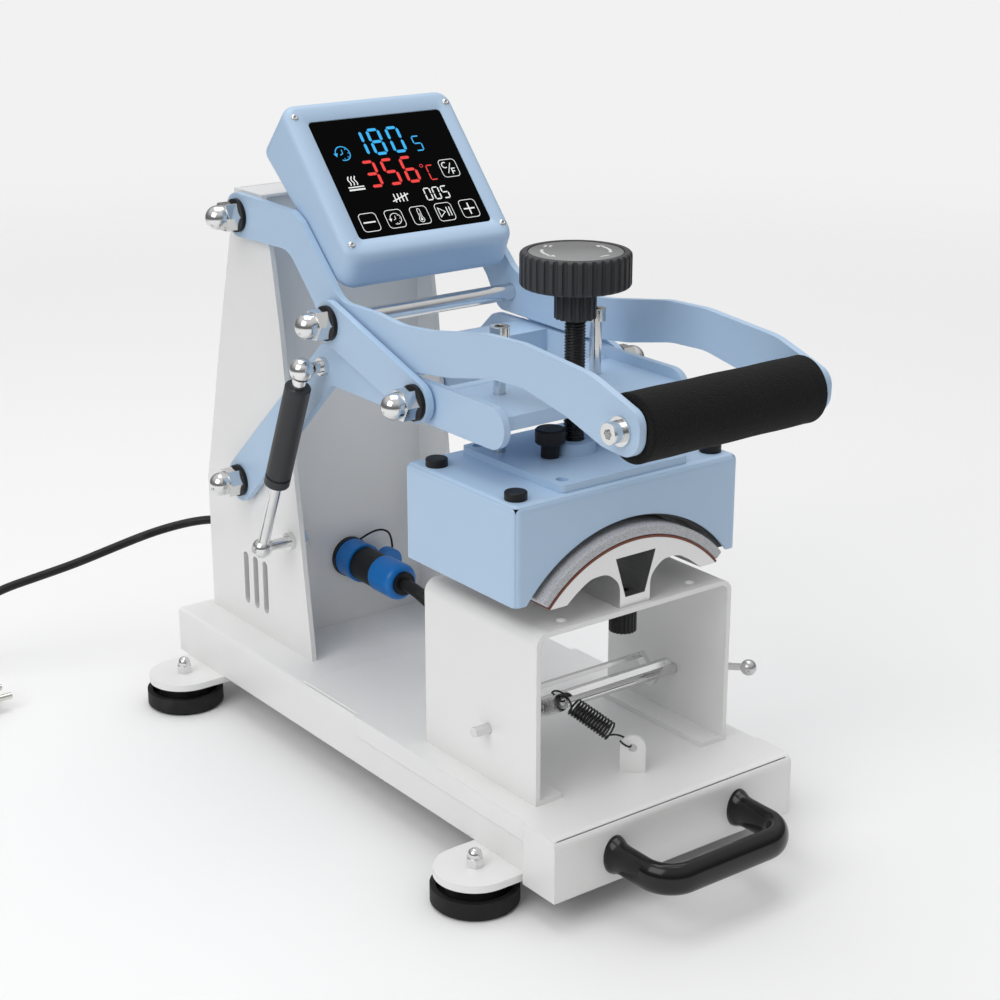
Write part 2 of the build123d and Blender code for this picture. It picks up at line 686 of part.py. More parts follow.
# ---------------------------------------------------------------- lower strut studs
foot_stud = hex_x(between - STUD_NUT_T, between, PIVOT_FOOT, STUD_NUT_AF)
foot_stud += rod_x(between - STUD_NUT_T, COLUMN_HALF + STUD_COLLAR_T, PIVOT_FOOT, STUD_D)
collar_end = STRUT_X - STRUT_EYE_DOWN - LINK_GAP
foot_stud += rod_x(COLUMN_HALF, COLUMN_HALF + STUD_COLLAR_T, PIVOT_FOOT, STUD_COLLAR_D)
foot_stud += rod_x(COLUMN_HALF, collar_end, PIVOT_FOOT, STUD_D)
foot_stud += rod_x(collar_end - EPS, STRUT_X + STRUT_EYE_DOWN, PIVOT_FOOT, STUD_TIP_D)
save("lower_ball_studs", *right_and_left(foot_stud))

# ---------------------------------------------------------------- power socket, plug and dust cap
flange_y = PANEL_Y - SOCKET_FLANGE_T
ring_y = flange_y - SOCKET_RING_L
body_y = ring_y - PLUG_L
collar_y = body_y - COLLAR_L
nose_y = collar_y - PLUG_NOSE
core_bore = PLUG_CORE_D + 2 * CORE_PLAY
save("socket_flange", rod_y(flange_y, PANEL_Y, SOCKET_X, SOCKET_Z, SOCKET_FLANGE_D))
save("socket_ring", rod_y(ring_y, flange_y, SOCKET_X, SOCKET_Z, SOCKET_RING_D))
plug_body = rod_y(body_y, ring_y, SOCKET_X, SOCKET_Z, PLUG_D)
plug_body += rod_y(nose_y, body_y, SOCKET_X, SOCKET_Z, PLUG_CORE_D)
save("plug_body", plug_body)
collar = rod_y(collar_y, body_y, SOCKET_X, SOCKET_Z, COLLAR_D)
collar = fillet(collar.edges().group_by(Axis.Y)[0], COLLAR_ROUND / 2)
collar -= rod_y(collar_y - EPS, body_y + EPS, SOCKET_X, SOCKET_Z, core_bore)
save("plug_collar", collar)
gland_tip = HEAD_REAR + GLAND_L
lead_points = [(SOCKET_X, nose_y, SOCKET_Z)] + HEATER_LEAD[:-1]
lead_points += [(HEATER_LEAD[-1][0], gland_tip, HEATER_LEAD[-1][2])]
save("heater_lead", soft_route("heater_lead", lead_points, HEATER_LEAD_D))
gland = rod_y(HEAD_REAR, gland_tip, HEATER_LEAD[-1][0], HEATER_LEAD[-1][2], GLAND_D)
gland = chamfer(gland.edges().group_by(Axis.Y)[-1], GLAND_L / 4)
save("lead_gland", gland)

cap_x, cap_y, cap_z = DUST_CAP_AT
dust_cap = rod_y(cap_y - DUST_CAP_L / 2, cap_y + DUST_CAP_L / 2, cap_x, cap_z, DUST_CAP_D)
dust_cap -= rod_y(cap_y - DUST_CAP_L / 2 + DUST_CAP_WALL, cap_y + DUST_CAP_L, cap_x, cap_z,
                  DUST_CAP_D - 2 * DUST_CAP_WALL)
save("dust_cap", dust_cap)
save("dust_cap_tether", soft_route("dust_cap_tether", TETHER, TETHER_D))

# ---------------------------------------------------------------- mains lead
relief_end = relief_y + RELIEF_FLANGE_T + RELIEF_L
taper = [(0, relief_y + RELIEF_FLANGE_T), (RELIEF_D / 2, relief_y + RELIEF_FLANGE_T),
         (RELIEF_TIP_D / 2, relief_end), (0, relief_end)]
relief = revolve(make_face(Polyline(*taper, close=True)), Axis.Y)
relief += rod_y(relief_y, relief_y + RELIEF_FLANGE_T, 0, 0, RELIEF_FLANGE_D)
relief += rod_y(relief_y - COLUMN_SHEET - EPS, relief_y, 0, 0, RELIEF_D)
for k in range(RELIEF_RINGS):
    ring_at = relief_y + RELIEF_FLANGE_T + (k + 1) * RELIEF_L / (RELIEF_RINGS + 1)
    across = RELIEF_D + (RELIEF_TIP_D - RELIEF_D) * (k + 1) / (RELIEF_RINGS + 1)
    groove = rod_y(ring_at - RELIEF_RING_W / 2, ring_at + RELIEF_RING_W / 2, 0, 0, RELIEF_D + RELIEF_D)
    groove -= rod_y(ring_at - RELIEF_RING_W, ring_at + RELIEF_RING_W, 0, 0, across - 2 * RELIEF_RING_DEEP)
    relief -= groove
save("mains_strain_relief", Pos(MAINS_X, 0, MAINS_Z) * relief)

coil_z = MAINS_D / 2 + FLOOR_GAP
mains_points = [(MAINS_X, relief_end, MAINS_Z)] + MAINS_ROUTE
mains_points += [(COIL_X + COIL_LEAD, COIL_Y, coil_z)]
save("mains_lead", soft_route("mains_lead", mains_points, MAINS_D))

coil_edges = []
lead_end = Vector(*mains_points[-1])
coil_start = Vector(COIL_X, COIL_Y, coil_z)
coil_edges.append(Line(lead_end, coil_start))
here = coil_start
heading = Vector(-1, 0, 0)
half_turns_in = 2 * COIL_TURNS_IN
radii = [COIL_R - k * COIL_STEP / 2 for k in range(half_turns_in + 1)]
climbs = [0.0] * half_turns_in + [COIL_STEP] + [0.0] * half_turns_in
for radius, climb in zip(radii + radii[-2::-1], climbs):
    side = -1 if heading.X < 0 else 1
    there = here + Vector(0, side * 2 * radius, climb)
    coil_edges += biarc(here, heading, there, heading * -1)
    here = there
    heading = heading * -1
tail = here + heading * COIL_TAIL
coil_edges.append(Line(here, tail))
coil = tube([e for edge in coil_edges for e in edge.edges()], MAINS_D)
print("mains_coil least gap", round(least_gap(coil_edges, MAINS_D), 2))
save("mains_coil", coil)

plug_section = Plane.YZ.offset(tail.X) * Pos(tail.Y, tail.Z) * RectangleRounded(
    PLUG_HIGH / 2 + EPS, PLUG_HIGH / 2 + EPS, EPS + EPS)
plug_wide = Plane.YZ.offset(tail.X + PLUG_TAPER) * Pos(tail.Y, tail.Z) * RectangleRounded(
    PLUG_WIDE, PLUG_HIGH, EPS + EPS)
mains_plug = loft([plug_section, plug_wide], ruled=True)
mains_plug += extrude(plug_wide, amount=PLUG_LEN - PLUG_TAPER)
for pin_side in (-PIN_SPAN / 2, PIN_SPAN / 2):
    mains_plug += rod_x(tail.X + PLUG_LEN - EPS, tail.X + PLUG_LEN + PIN_L, (tail.Y + pin_side, tail.Z), PIN_D)
save("mains_plug", mains_plug)

# ================================================================ drawer
tray = block(-APRON_HALF, APRON_HALF, APRON_FRONT, APRON_FRONT + APRON_DEPTH, APRON_LOW, TRAY_TOP)
tray = fillet(tray.edges().filter_by(Axis.X).group_by(Axis.Z)[-1].group_by(Axis.Y)[0], APRON_ROUND)
tray -= block(-TRAY_HALF, TRAY_HALF, APRON_FRONT + TRAY_PLATE_T, APRON_FRONT + APRON_DEPTH + EPS,
              APRON_LOW - EPS, TRAY_TOP - TRAY_PLATE_T)
tray += block(-TRAY_HALF, TRAY_HALF, APRON_FRONT + APRON_ROUND, TRAY_REAR, TRAY_TOP - TRAY_FLANGE, TRAY_TOP)
tray_inner = TRAY_HALF - TRAY_T
tray -= block(-tray_inner, tray_inner, APRON_FRONT + TRAY_PLATE_T, TRAY_REAR + EPS,
              APRON_LOW - EPS, TRAY_UNDER)
tray += block(-TONGUE_HALF, TONGUE_HALF, TRAY_REAR - EPS, TONGUE_REAR, TRAY_UNDER, TRAY_TOP)
save("drawer_tray", tray)

slide_x1 = runner_out - RUNNER_WALL - SLIDE_PLAY
slide = block(slide_x1 - SLIDE_W, slide_x1, APRON_FRONT + TRAY_PLATE_T, SLIDE_REAR,
              RUNNER_Z + RUNNER_WALL + SLIDE_PLAY, RUNNER_Z + RUNNER_H - RUNNER_WALL - SLIDE_PLAY)
save("slide_bars", *right_and_left(slide))

handle_out = HANDLE_X + HANDLE_T
handle_front = APRON_FRONT - HANDLE_REACH
bow = FilletPolyline((-handle_out, APRON_FRONT), (-handle_out + HANDLE_T / 4, handle_front),
                     (handle_out - HANDLE_T / 4, handle_front), (handle_out, APRON_FRONT),
                     radius=HANDLE_ROUND)
bow_inner = FilletPolyline((HANDLE_X - HANDLE_T, APRON_FRONT), (HANDLE_X - HANDLE_T, handle_front + HANDLE_T),
                           (HANDLE_T - HANDLE_X, handle_front + HANDLE_T), (HANDLE_T - HANDLE_X, APRON_FRONT),
                           radius=HANDLE_ROUND - HANDLE_T)
bow_ends = Line(bow_inner @ 1, bow @ 0)
bow_close = Line(bow @ 1, bow_inner @ 0)
bow_face = make_face(bow.edges() + bow_close.edges() + bow_inner.edges() + bow_ends.edges())
handle = extrude(Plane.XY.offset(HANDLE_Z - HANDLE_H / 2) * bow_face, amount=HANDLE_H)
handle_rims = handle.edges().filter_by(Axis.Z, reverse=True)
handle = fillet([e for e in handle_rims if e.center().Y < APRON_FRONT - EPS], HANDLE_EDGE)
save("bow_handle", handle)

# ---------------------------------------------------------------- bridge and lower platen
bridge = block(-BRIDGE_HALF, BRIDGE_HALF, BRIDGE_FRONT, BRIDGE_REAR, TRAY_TOP, BRIDGE_TOP)
bridge = fillet(bridge.edges().filter_by(Axis.Y).group_by(Axis.Z)[-1], BRIDGE_BEND)
leg = BRIDGE_HALF - BRIDGE_SHEET
under = block(-leg, leg, BRIDGE_FRONT - EPS, BRIDGE_REAR + EPS, TRAY_TOP + BRIDGE_SHEET, BRIDGE_TOP - BRIDGE_SHEET)
under = fillet(under.edges().filter_by(Axis.Y).group_by(Axis.Z)[-1], BRIDGE_BEND - BRIDGE_SHEET)
foot_in = leg - BRIDGE_FOOT
under += block(-foot_in, foot_in, BRIDGE_FRONT - EPS, BRIDGE_REAR + EPS, TRAY_TOP - EPS, TRAY_TOP + BRIDGE_SHEET + EPS)
bridge -= under
bridge -= rod_x(-BRIDGE_HALF - EPS, BRIDGE_HALF + EPS, (BAIL_Y, BAIL_Z), BAIL_ROD_D + 2 * PIN_FIT)
bridge -= rod_z(BRIDGE_TOP - BRIDGE_SHEET - EPS, BRIDGE_TOP + EPS, 0, CLAMP_Y, CLAMP_STUD_D + 2 * PIN_FIT)
for hole_x in (-BRIDGE_HOLE_X, BRIDGE_HOLE_X):
    bridge -= rod_z(BRIDGE_TOP - BRIDGE_SHEET - EPS, BRIDGE_TOP + EPS, hole_x, BRIDGE_HOLE_Y, BRIDGE_HOLE_D)
save("platen_bridge", bridge)


def arc_point(r, centre_z, z, side):
    """Point of an arch of radius r at a height."""
    return (side * math.sqrt(r * r - (z - centre_z) ** 2), z)


tip_out = arc_point(PLATEN_R, PLATEN_Z, PLATEN_TIP_Z, 1)
tip_in = arc_point(PLATEN_R_IN, PLATEN_Z, PLATEN_TIP_Z, 1)
arch_end_x = STEM_FLARE[-1][0] + FLARE_RUN
arch_end = (arch_end_x, PLATEN_Z + math.sqrt(PLATEN_R_IN ** 2 - arch_end_x ** 2))
platen_half = Polyline((0, BRIDGE_TOP), (STEM_HALF, BRIDGE_TOP), STEM_FLARE[0])
flare = Spline(*STEM_FLARE, arch_end, tangents=[(0, 1), (arch_end[1] - PLATEN_Z, -arch_end[0])])
wing_mid_x = (arch_end[0] + tip_in[0]) / 2
wing_mid = (wing_mid_x, PLATEN_Z + math.sqrt(PLATEN_R_IN ** 2 - wing_mid_x ** 2))
wing_under = ThreePointArc(arch_end, wing_mid, tip_in)
wing_tip = Line(tip_in, tip_out)
crown_x = tip_out[0] / 2
crown_mid = (crown_x, PLATEN_Z + math.sqrt(PLATEN_R ** 2 - crown_x ** 2))
crown = ThreePointArc(tip_out, crown_mid, (0, PLATEN_Z + PLATEN_R))
platen_axis = Line((0, PLATEN_Z + PLATEN_R), (0, BRIDGE_TOP))
platen_edges = platen_half.edges() + flare.edges() + wing_under.edges()
platen_edges += wing_tip.edges() + crown.edges() + platen_axis.edges()
half_face = make_face(platen_edges)
platen_depth = PLATEN_REAR - PLATEN_FRONT
half_platen = extrude(Plane.XZ.offset(-PLATEN_REAR) * half_face, amount=platen_depth)
platen = half_platen + mirror(half_platen, Plane.YZ)
platen -= front_plate(HOLLOW, PLATEN_FRONT - EPS, PLATEN_REAR + EPS)
platen -= rod_z(BRIDGE_TOP - EPS, BRIDGE_TOP + CLAMP_STUD_IN + EPS, 0, CLAMP_Y, CLAMP_STUD_D + 2 * PIN_FIT)
save("lower_platen", platen)


sheet_r = PLATEN_R + PAD_PLAY
foam_r = sheet_r + SHEET_T + PAD_PLAY
lean_out = tip_out[0] / (PLATEN_TIP_Z - PLATEN_Z)
pad_top = PLATEN_TIP_Z + PLATEN_R
keep_top = (pad_top - PLATEN_Z) * lean_out
keep_shape = [(0, PLATEN_Z), (keep_top, pad_top), (-keep_top, pad_top)]
sheet = rod_y(PLATEN_FRONT, PLATEN_REAR, 0, PLATEN_Z, 2 * (sheet_r + SHEET_T))
sheet -= rod_y(PLATEN_FRONT - EPS, PLATEN_REAR + EPS, 0, PLATEN_Z, 2 * sheet_r)
foam = rod_y(PLATEN_FRONT, PLATEN_REAR, 0, PLATEN_Z, 2 * (foam_r + FOAM_T))
foam -= rod_y(PLATEN_FRONT - EPS, PLATEN_REAR + EPS, 0, PLATEN_Z, 2 * foam_r)
wedge = front_plate(keep_shape, PLATEN_FRONT - EPS, PLATEN_REAR + EPS)
save("rubber_sheet", sheet & wedge)
save("foam_pad", foam & wedge)

clamp_top = BRIDGE_TOP - BRIDGE_SHEET - SEAT_GAP
clamp = rod_z(clamp_top - CLAMP_H, clamp_top, 0, CLAMP_Y, CLAMP_D)
for k in range(CLAMP_KNURLS):
    turn = 2 * math.pi * k / CLAMP_KNURLS
    clamp -= rod_z(clamp_top - CLAMP_H - EPS, clamp_top + EPS, CLAMP_D / 2 * math.cos(turn),
                   CLAMP_Y + CLAMP_D / 2 * math.sin(turn), CLAMP_KNURL_D)
clamp += rod_z(clamp_top - EPS, BRIDGE_TOP + CLAMP_STUD_IN, 0, CLAMP_Y, CLAMP_STUD_D)
save("platen_knob", clamp)

# ---------------------------------------------------------------- where the extension spring hooks on
post_r = POST_W / 2
post_eye_z = TRAY_TOP + POST_H - post_r
post_eye = Vector(0, POST_Y, post_eye_z)
bar_middle = Vector(HOOK_X, *BAIL_FRONT)
along = (bar_middle - post_eye).normalized()
post_face = Vector(-along.Y, along.X, 0).normalized() * -1
bar_reach = abs(along.Y) * BAIL_BAR_T / 2 + abs(along.Z) * BAIL_BAR_H / 2
hook_low = post_eye + along * (POST_HOLE_D / 2 - WIRE_D / 2 - HOOK_GAP)
hook_high = bar_middle + along * (bar_reach + WIRE_D / 2 + HOOK_RISE)
loop_middle = hook_high - along * LOOP_R
loop_side = (Vector(1, 0, 0) - along * along.X).normalized().cross(along)
lean = math.atan2(-loop_side.Y, along.Y)
crossing = lean + math.pi - math.asin((bar_middle.Y - loop_middle.Y) / LOOP_R / math.hypot(loop_side.Y, along.Y))
lug_eye = loop_middle + (loop_side * math.cos(crossing) + along * math.sin(crossing)) * LOOP_R

# ---------------------------------------------------------------- spring post and stretcher frame
post = block(-post_r, post_r, -POST_T / 2, POST_T / 2, TRAY_TOP, post_eye_z)
post += rod_y(-POST_T / 2, POST_T / 2, 0, post_eye_z, POST_W)
post -= rod_y(-POST_T, POST_T, 0, post_eye_z, POST_HOLE_D)
post_turn = math.degrees(math.atan2(-post_face.X, post_face.Y))
save("spring_post", Pos(0, POST_Y, 0) * Rot(0, 0, post_turn) * post)

bail_axis = (BAIL_Y, BAIL_Z)
bail = rod_x(BAIL_ROD_LEFT, BAIL_ROD_RIGHT, bail_axis, BAIL_ROD_D)
end_in = BAIL_HALF - BAIL_END_T
for x0, x1 in ((end_in, BAIL_HALF), (-BAIL_HALF, -end_in)):
    bail += strap(bail_axis, BAIL_EYE, BAIL_FRONT, BAIL_BAR_H / 2, x0, x1)
    bail += strap(bail_axis, BAIL_EYE, BAIL_REAR, BAIL_BAR_H / 2, x0, x1)
bail += block(-BAIL_HALF, BAIL_HALF, BAIL_FRONT[0] - BAIL_BAR_T / 2, BAIL_FRONT[0] + BAIL_BAR_T / 2,
              BAIL_FRONT[1] - BAIL_BAR_H / 2, BAIL_FRONT[1] + BAIL_BAR_H / 2)
bail += block(-BAIL_HALF, BAIL_HALF, BAIL_REAR[0] - BAIL_REAR_T / 2, BAIL_REAR[0] + BAIL_REAR_T / 2,
              BAIL_REAR[1] - BAIL_REAR_T / 2, BAIL_REAR[1] + BAIL_REAR_T / 2)
lug_low = BAIL_FRONT[1] - BAIL_BAR_H / 2 - LUG_DROP
lug = block(LUG_FROM, LUG_TO, BAIL_FRONT[0] - BAIL_BAR_T / 2, BAIL_FRONT[0] + BAIL_BAR_T / 2,
            lug_low, BAIL_FRONT[1] - BAIL_BAR_H / 2 + EPS)
lug = fillet(lug.edges().filter_by(Axis.Y).group_by(Axis.Z)[0], LUG_ROUND)
bail += lug
bail -= rod_y(BAIL_FRONT[0] - BAIL_BAR_T, BAIL_FRONT[0] + BAIL_BAR_T, lug_eye.X, lug_eye.Z, LUG_HOLE_D)
bail += rod_x(STEM_X - STEM_HUB_T / 2, STEM_X + STEM_HUB_T / 2, bail_axis, STEM_HUB_D)
stem_from = Vector(STEM_X, BAIL_Y, BAIL_Z)
ball_at = Vector(*BALL_AT)
stem_way = (ball_at - stem_from).normalized()
stem_to = ball_at - stem_way * (BALL_D / 4)
stem_len = (stem_to - stem_from).length
bail += Plane(origin=stem_from, z_dir=stem_way) * Pos(0, 0, stem_len / 2) * Cylinder(STEM_D / 2, stem_len)
save("bail_frame", bail)
ball = Pos(*BALL_AT) * Sphere(BALL_D / 2)
socket = Plane(origin=stem_from, z_dir=stem_way) * Pos(0, 0, stem_len / 2) * Cylinder(
    STEM_D / 2 + PIN_FIT, stem_len + 2 * PIN_FIT)
save("bail_ball", ball - socket)

# ---------------------------------------------------------------- extension spring
spring_frame = Plane(origin=(hook_low + hook_high) * 0.5, x_dir=post_face, z_dir=along)
mean_r = (SPRING_D - WIRE_D) / 2
loop_z = (hook_high - hook_low).length / 2 - LOOP_R
side_local = spring_frame.to_local_coords(spring_frame.origin + loop_side)
high_angle = math.atan2(side_local.Y, side_local.X)
first_turn = -SPRING_TURNS / 2
last_turn = SPRING_TURNS / 2 + high_angle / (2 * math.pi)


def helix_point(turn):
    """Centre-line point and direction of the spring after so many turns from its middle."""
    a = 2 * math.pi * turn
    rise = SPRING_PITCH / (2 * math.pi)
    point = Vector(mean_r * math.cos(a), mean_r * math.sin(a), SPRING_PITCH * (turn - (first_turn + last_turn) / 2))
    way = Vector(-mean_r * math.sin(a), mean_r * math.cos(a), rise).normalized()
    return point, way


def loop_point(degrees, side_angle, height):
    """Point and direction on an end loop that stands on the spring's axis."""
    a = math.radians(degrees)
    out = Vector(math.cos(side_angle), math.sin(side_angle), 0)
    up = Vector(0, 0, 1)
    return up * height + (out * math.cos(a) + up * math.sin(a)) * LOOP_R, up * math.cos(a) - out * math.sin(a)


low_start = loop_point(LOOP_OPEN_LOW, 0, -loop_z)
high_end = loop_point(LOOP_SHUT_HIGH, high_angle, loop_z)
quarters = math.ceil((last_turn - first_turn) * 4) - 2
stations = [(low_start[0] - low_start[1] * WIRE_D, low_start[1]), low_start]
stations += [loop_point(angle, 0, -loop_z) for angle in (270, 360)]
span = (last_turn - first_turn - 0.5) / quarters
stations += [helix_point(first_turn + 0.25 + k * span) for k in range(quarters + 1)]
stations += [loop_point(angle, high_angle, loop_z) for angle in (0, 90, 180)]
stations += [high_end, (high_end[0] + high_end[1] * WIRE_D, high_end[1])]
spring_edges = []
for (p0, t0), (p1, t1) in zip(stations, stations[1:]):
    if t0.dot(t1) > 1 - 1e-9:
        spring_edges.append(Line(p0, p1))
    else:
        spring_edges += biarc(p0, t0, p1, t1)
spring = tube([e for edge in spring_edges for e in edge.edges()], WIRE_D)
print("stretch_spring least gap", round(least_gap(spring_edges, WIRE_D, 12), 2))
save("stretch_spring", spring_frame * spring)

# ================================================================ hand lever
lever_points = [(at[0] + y, at[1] + z) for at, y, z, r in LEVER_OUTLINE]
lever_radii = [r for at, y, z, r in LEVER_OUTLINE]
lever_face = make_face(FilletPolyline(*lever_points, radius=lever_radii, close=True))
lever_plate = extrude(Plane.YZ.offset(ARM_IN) * lever_face, amount=ARM_T)
lever_bores = rod_x(ARM_IN - EPS, ARM_OUT + EPS, PIVOT_LEVER, SHAFT_D + 2 * PIN_FIT)
lever_bores += rod_x(ARM_IN - EPS, ARM_OUT + EPS, PIVOT_LINK, SHAFT_D + 2 * PIN_FIT)
lever_bores += rod_x(ARM_IN - EPS, ARM_OUT + EPS, PIVOT_GRIP, GRIP_BOLT_D + 2 * PIN_FIT)
lever_plate -= lever_bores
back_way = Vector(0, BACK_TOP[0] - BACK_LOW[0], BACK_TOP[1] - BACK_LOW[1]).normalized()
back_out = Vector(0, back_way.Z, -back_way.Y)
low = Vector(0, *BACK_LOW)
bracket_points = [
    low + back_way * BRACKET_FROM, low + back_way * BRACKET_TO,
    low + back_way * BRACKET_TO + back_out * BRACKET_T, low + back_way * BRACKET_FROM + back_out * BRACKET_T,
]
bracket = side_plate([(p.Y, p.Z) for p in bracket_points], -ARM_IN, ARM_IN)
lever_frame = lever_plate + mirror(lever_plate, Plane.YZ) + bracket
save("lever_frame", lever_frame)

lever_nut_x = LINK_OUT + OUTER_WASHER_T
link_shaft_end = lever_nut_x + NUT_BORE - PIN_FIT
save("link_shaft", rod_x(-link_shaft_end, link_shaft_end, PIVOT_LINK, SHAFT_D))
link_bore = rod_x(0, lever_nut_x + NUT_BORE, PIVOT_LINK, SHAFT_D + 2 * PIN_FIT)
lever_washer_in = rod_x(ARM_OUT, LINK_IN - SIDE_PLAY, PIVOT_LINK, WASHER_D) - link_bore
lever_washer_out = rod_x(LINK_OUT + SIDE_PLAY, lever_nut_x, PIVOT_LINK, OUTER_WASHER_D) - link_bore
save("lever_washers", *right_and_left(lever_washer_in, lever_washer_out))
save("lever_cap_nuts", *right_and_left(cap_nut_x(lever_nut_x, PIVOT_LINK) - link_bore))

core = rod_x(-ARM_IN, ARM_IN, PIVOT_GRIP, GRIP_CORE_D)
for side in (-1, 1):
    core -= rod_x(side * (ARM_IN - GRIP_BOLT_IN), side * (ARM_IN + EPS), PIVOT_GRIP, GRIP_BOLT_D + 2 * PIN_FIT)
save("grip_core", core)
grip = rod_x(-GRIP_HALF, GRIP_HALF, PIVOT_GRIP, GRIP_D)
grip = fillet(grip.edges(), FOOT_RIM_W)
grip -= rod_x(-GRIP_HALF - EPS, GRIP_HALF + EPS, PIVOT_GRIP, GRIP_CORE_D + 2 * PIN_FIT)
save("foam_grip", grip)
head_x = ARM_OUT + GRIP_WASHER_T
grip_bolt = rod_x(ARM_IN - GRIP_BOLT_IN + PIN_FIT, head_x, PIVOT_GRIP, GRIP_BOLT_D)
grip_bolt += rod_x(ARM_OUT, head_x, PIVOT_GRIP, GRIP_WASHER_D)
grip_bolt += rod_x(head_x - PIN_FIT, head_x + GRIP_HEAD_H, PIVOT_GRIP, GRIP_HEAD_D)
grip_bolt -= hex_x(head_x + GRIP_HEAD_H - GRIP_HEX_DEEP, head_x + GRIP_HEAD_H + EPS, PIVOT_GRIP, GRIP_HEX)
save("grip_bolts", *right_and_left(grip_bolt))

# ---------------------------------------------------------------- display
housing = side_plate([FACE_TOP, FACE_LOW, BACK_LOW, BACK_TOP], -DISPLAY_HALF, DISPLAY_HALF)
housing = fillet(housing.edges().filter_by(Axis.X).group_by(Axis.Z)[-1], DISPLAY_ROUND)
face_way = Vector(0, FACE_TOP[0] - FACE_LOW[0], FACE_TOP[1] - FACE_LOW[1]).normalized()
face_out = Vector(0, -face_way.Z, face_way.Y)
face_middle = (Vector(0, *FACE_TOP) + Vector(0, *FACE_LOW)) * 0.5
face_plane = Plane(origin=face_middle, x_dir=(1, 0, 0), z_dir=face_out)
glass_high = GLASS_UP + GLASS_DOWN
glass_centre = (GLASS_UP - GLASS_DOWN) / 2
pocket = face_plane * Pos(0, glass_centre, -GLASS_T / 2) * Box(2 * GLASS_HALF, glass_high, GLASS_T)
pocket = fillet(pocket.edges().filter_by(lambda e: abs((e % 0).dot(face_out)) > 1 - 1e-6), GLASS_ROUND)
housing -= pocket
save("display_housing", housing)
glass = face_plane * Pos(0, glass_centre, -GLASS_T / 2) * Box(
    2 * (GLASS_HALF - GLASS_PLAY), glass_high - 2 * GLASS_PLAY, GLASS_T)
glass = fillet(glass.edges().filter_by(lambda e: abs((e % 0).dot(face_out)) > 1 - 1e-6), GLASS_ROUND - GLASS_PLAY)
save("display_glass", glass)

# ================================================================ links
link = strap(PIVOT_LINK, LINK_R, PIVOT_HEAD, LINK_R_HEAD, LINK_IN, LINK_OUT)
link -= rod_x(LINK_IN - EPS, LINK_OUT + EPS, PIVOT_LINK, SHAFT_D + 2 * PIN_FIT)
link -= rod_x(LINK_IN - EPS, LINK_OUT + EPS, PIVOT_HEAD, SHAFT_D + 2 * PIN_FIT)
save("link_plates", *right_and_left(link))
link_nut_x = LINK_OUT + OUTER_WASHER_T
link_stud = rod_x(LINK_IN, link_nut_x + EPS, PIVOT_HEAD, SHAFT_D) + cap_nut_x(link_nut_x, PIVOT_HEAD)
save("link_studs", *right_and_left(link_stud))
link_washer = rod_x(LINK_OUT, link_nut_x, PIVOT_HEAD, OUTER_WASHER_D)
link_washer -= rod_x(LINK_OUT - EPS, link_nut_x + EPS, PIVOT_HEAD, SHAFT_D + 2 * PIN_FIT)
save("link_washers", *right_and_left(link_washer))

# ================================================================ swing frame
swing_mid = SWING_TOP - SWING_H / 2
swing_r = SWING_H / 2
tip_centre = (SWING_TIP + swing_r, swing_mid)
arm = strap(tip_centre, swing_r, SWING_CORNER, swing_r, ARM_IN, ARM_OUT)
arm += strap(SWING_CORNER, swing_r, PIVOT_SWING, SWING_EYE, ARM_IN, ARM_OUT)
arm -= rod_x(ARM_IN - EPS, ARM_OUT + EPS, PIVOT_SWING, SHAFT_D + 2 * PIN_FIT)
arm -= rod_x(ARM_IN - EPS, ARM_OUT + EPS, PIVOT_STRUT, STUD_D + 2 * PIN_FIT)
arm += rod_x(ARM_IN, LINK_IN - LINK_GAP, PIVOT_HEAD, RING_D)
swing = arm + mirror(arm, Plane.YZ)
shelf = block(-ARM_IN, ARM_IN, SHELF_FRONT, SHELF_REAR, SHELF_Z, SHELF_TOP)
for guide_x in (-GUIDE_X, GUIDE_X):
    shelf -= rod_z(SHELF_Z - EPS, SHELF_TOP + EPS, guide_x, GUIDE_Y, GUIDE_D + 2 * GUIDE_FIT)
shelf -= rod_z(SHELF_Z - EPS, SHELF_TOP + EPS, 0, SCREW_Y, SCREW_D + 2 * GUIDE_FIT)
swing += shelf
beam = block(-ARM_IN, ARM_IN, BEAM_FRONT, BEAM_REAR, SWING_TOP - BEAM_T, SWING_TOP)
beam += block(-ARM_IN, ARM_IN, BEAM_FRONT, BEAM_FRONT + BEAM_T, SWING_TOP - BEAM_DROP, SWING_TOP)
beam += rod_x(-ARM_IN, ARM_IN, (BEAM_FRONT + BEAM_LIP, SWING_TOP - BEAM_DROP), 2 * BEAM_LIP)
swing += beam
swing += rod_x(-ARM_IN, ARM_IN, PIVOT_HEAD, SHAFT_D)
save("swing_frame", swing)

head_stud = rod_x(ARM_IN - RIVET_T, ARM_IN, PIVOT_STRUT, RIVET_D)
head_stud += rod_x(ARM_IN - EPS, STRUT_X - STRUT_EYE_UP - LINK_GAP, PIVOT_STRUT, STUD_D)
head_stud += rod_x(ARM_OUT, ARM_OUT + STUD_COLLAR_T, PIVOT_STRUT, STUD_COLLAR_D)
save("upper_ball_studs", *right_and_left(head_stud))

# ================================================================ struts
strut_len = math.hypot(PIVOT_STRUT[0] - PIVOT_FOOT[0], PIVOT_STRUT[1] - PIVOT_FOOT[1])
strut_way = Vector(0, PIVOT_STRUT[0] - PIVOT_FOOT[0], PIVOT_STRUT[1] - PIVOT_FOOT[1]).normalized()
strut_frame = Plane(origin=(STRUT_X, *PIVOT_FOOT), x_dir=(1, 0, 0), z_dir=strut_way)


def strut_bar(a, b, d):
    """Round bar along the strut, from a to b below its upper eye."""
    return Pos(0, 0, strut_len - (a + b) / 2) * Cylinder(d / 2, b - a)


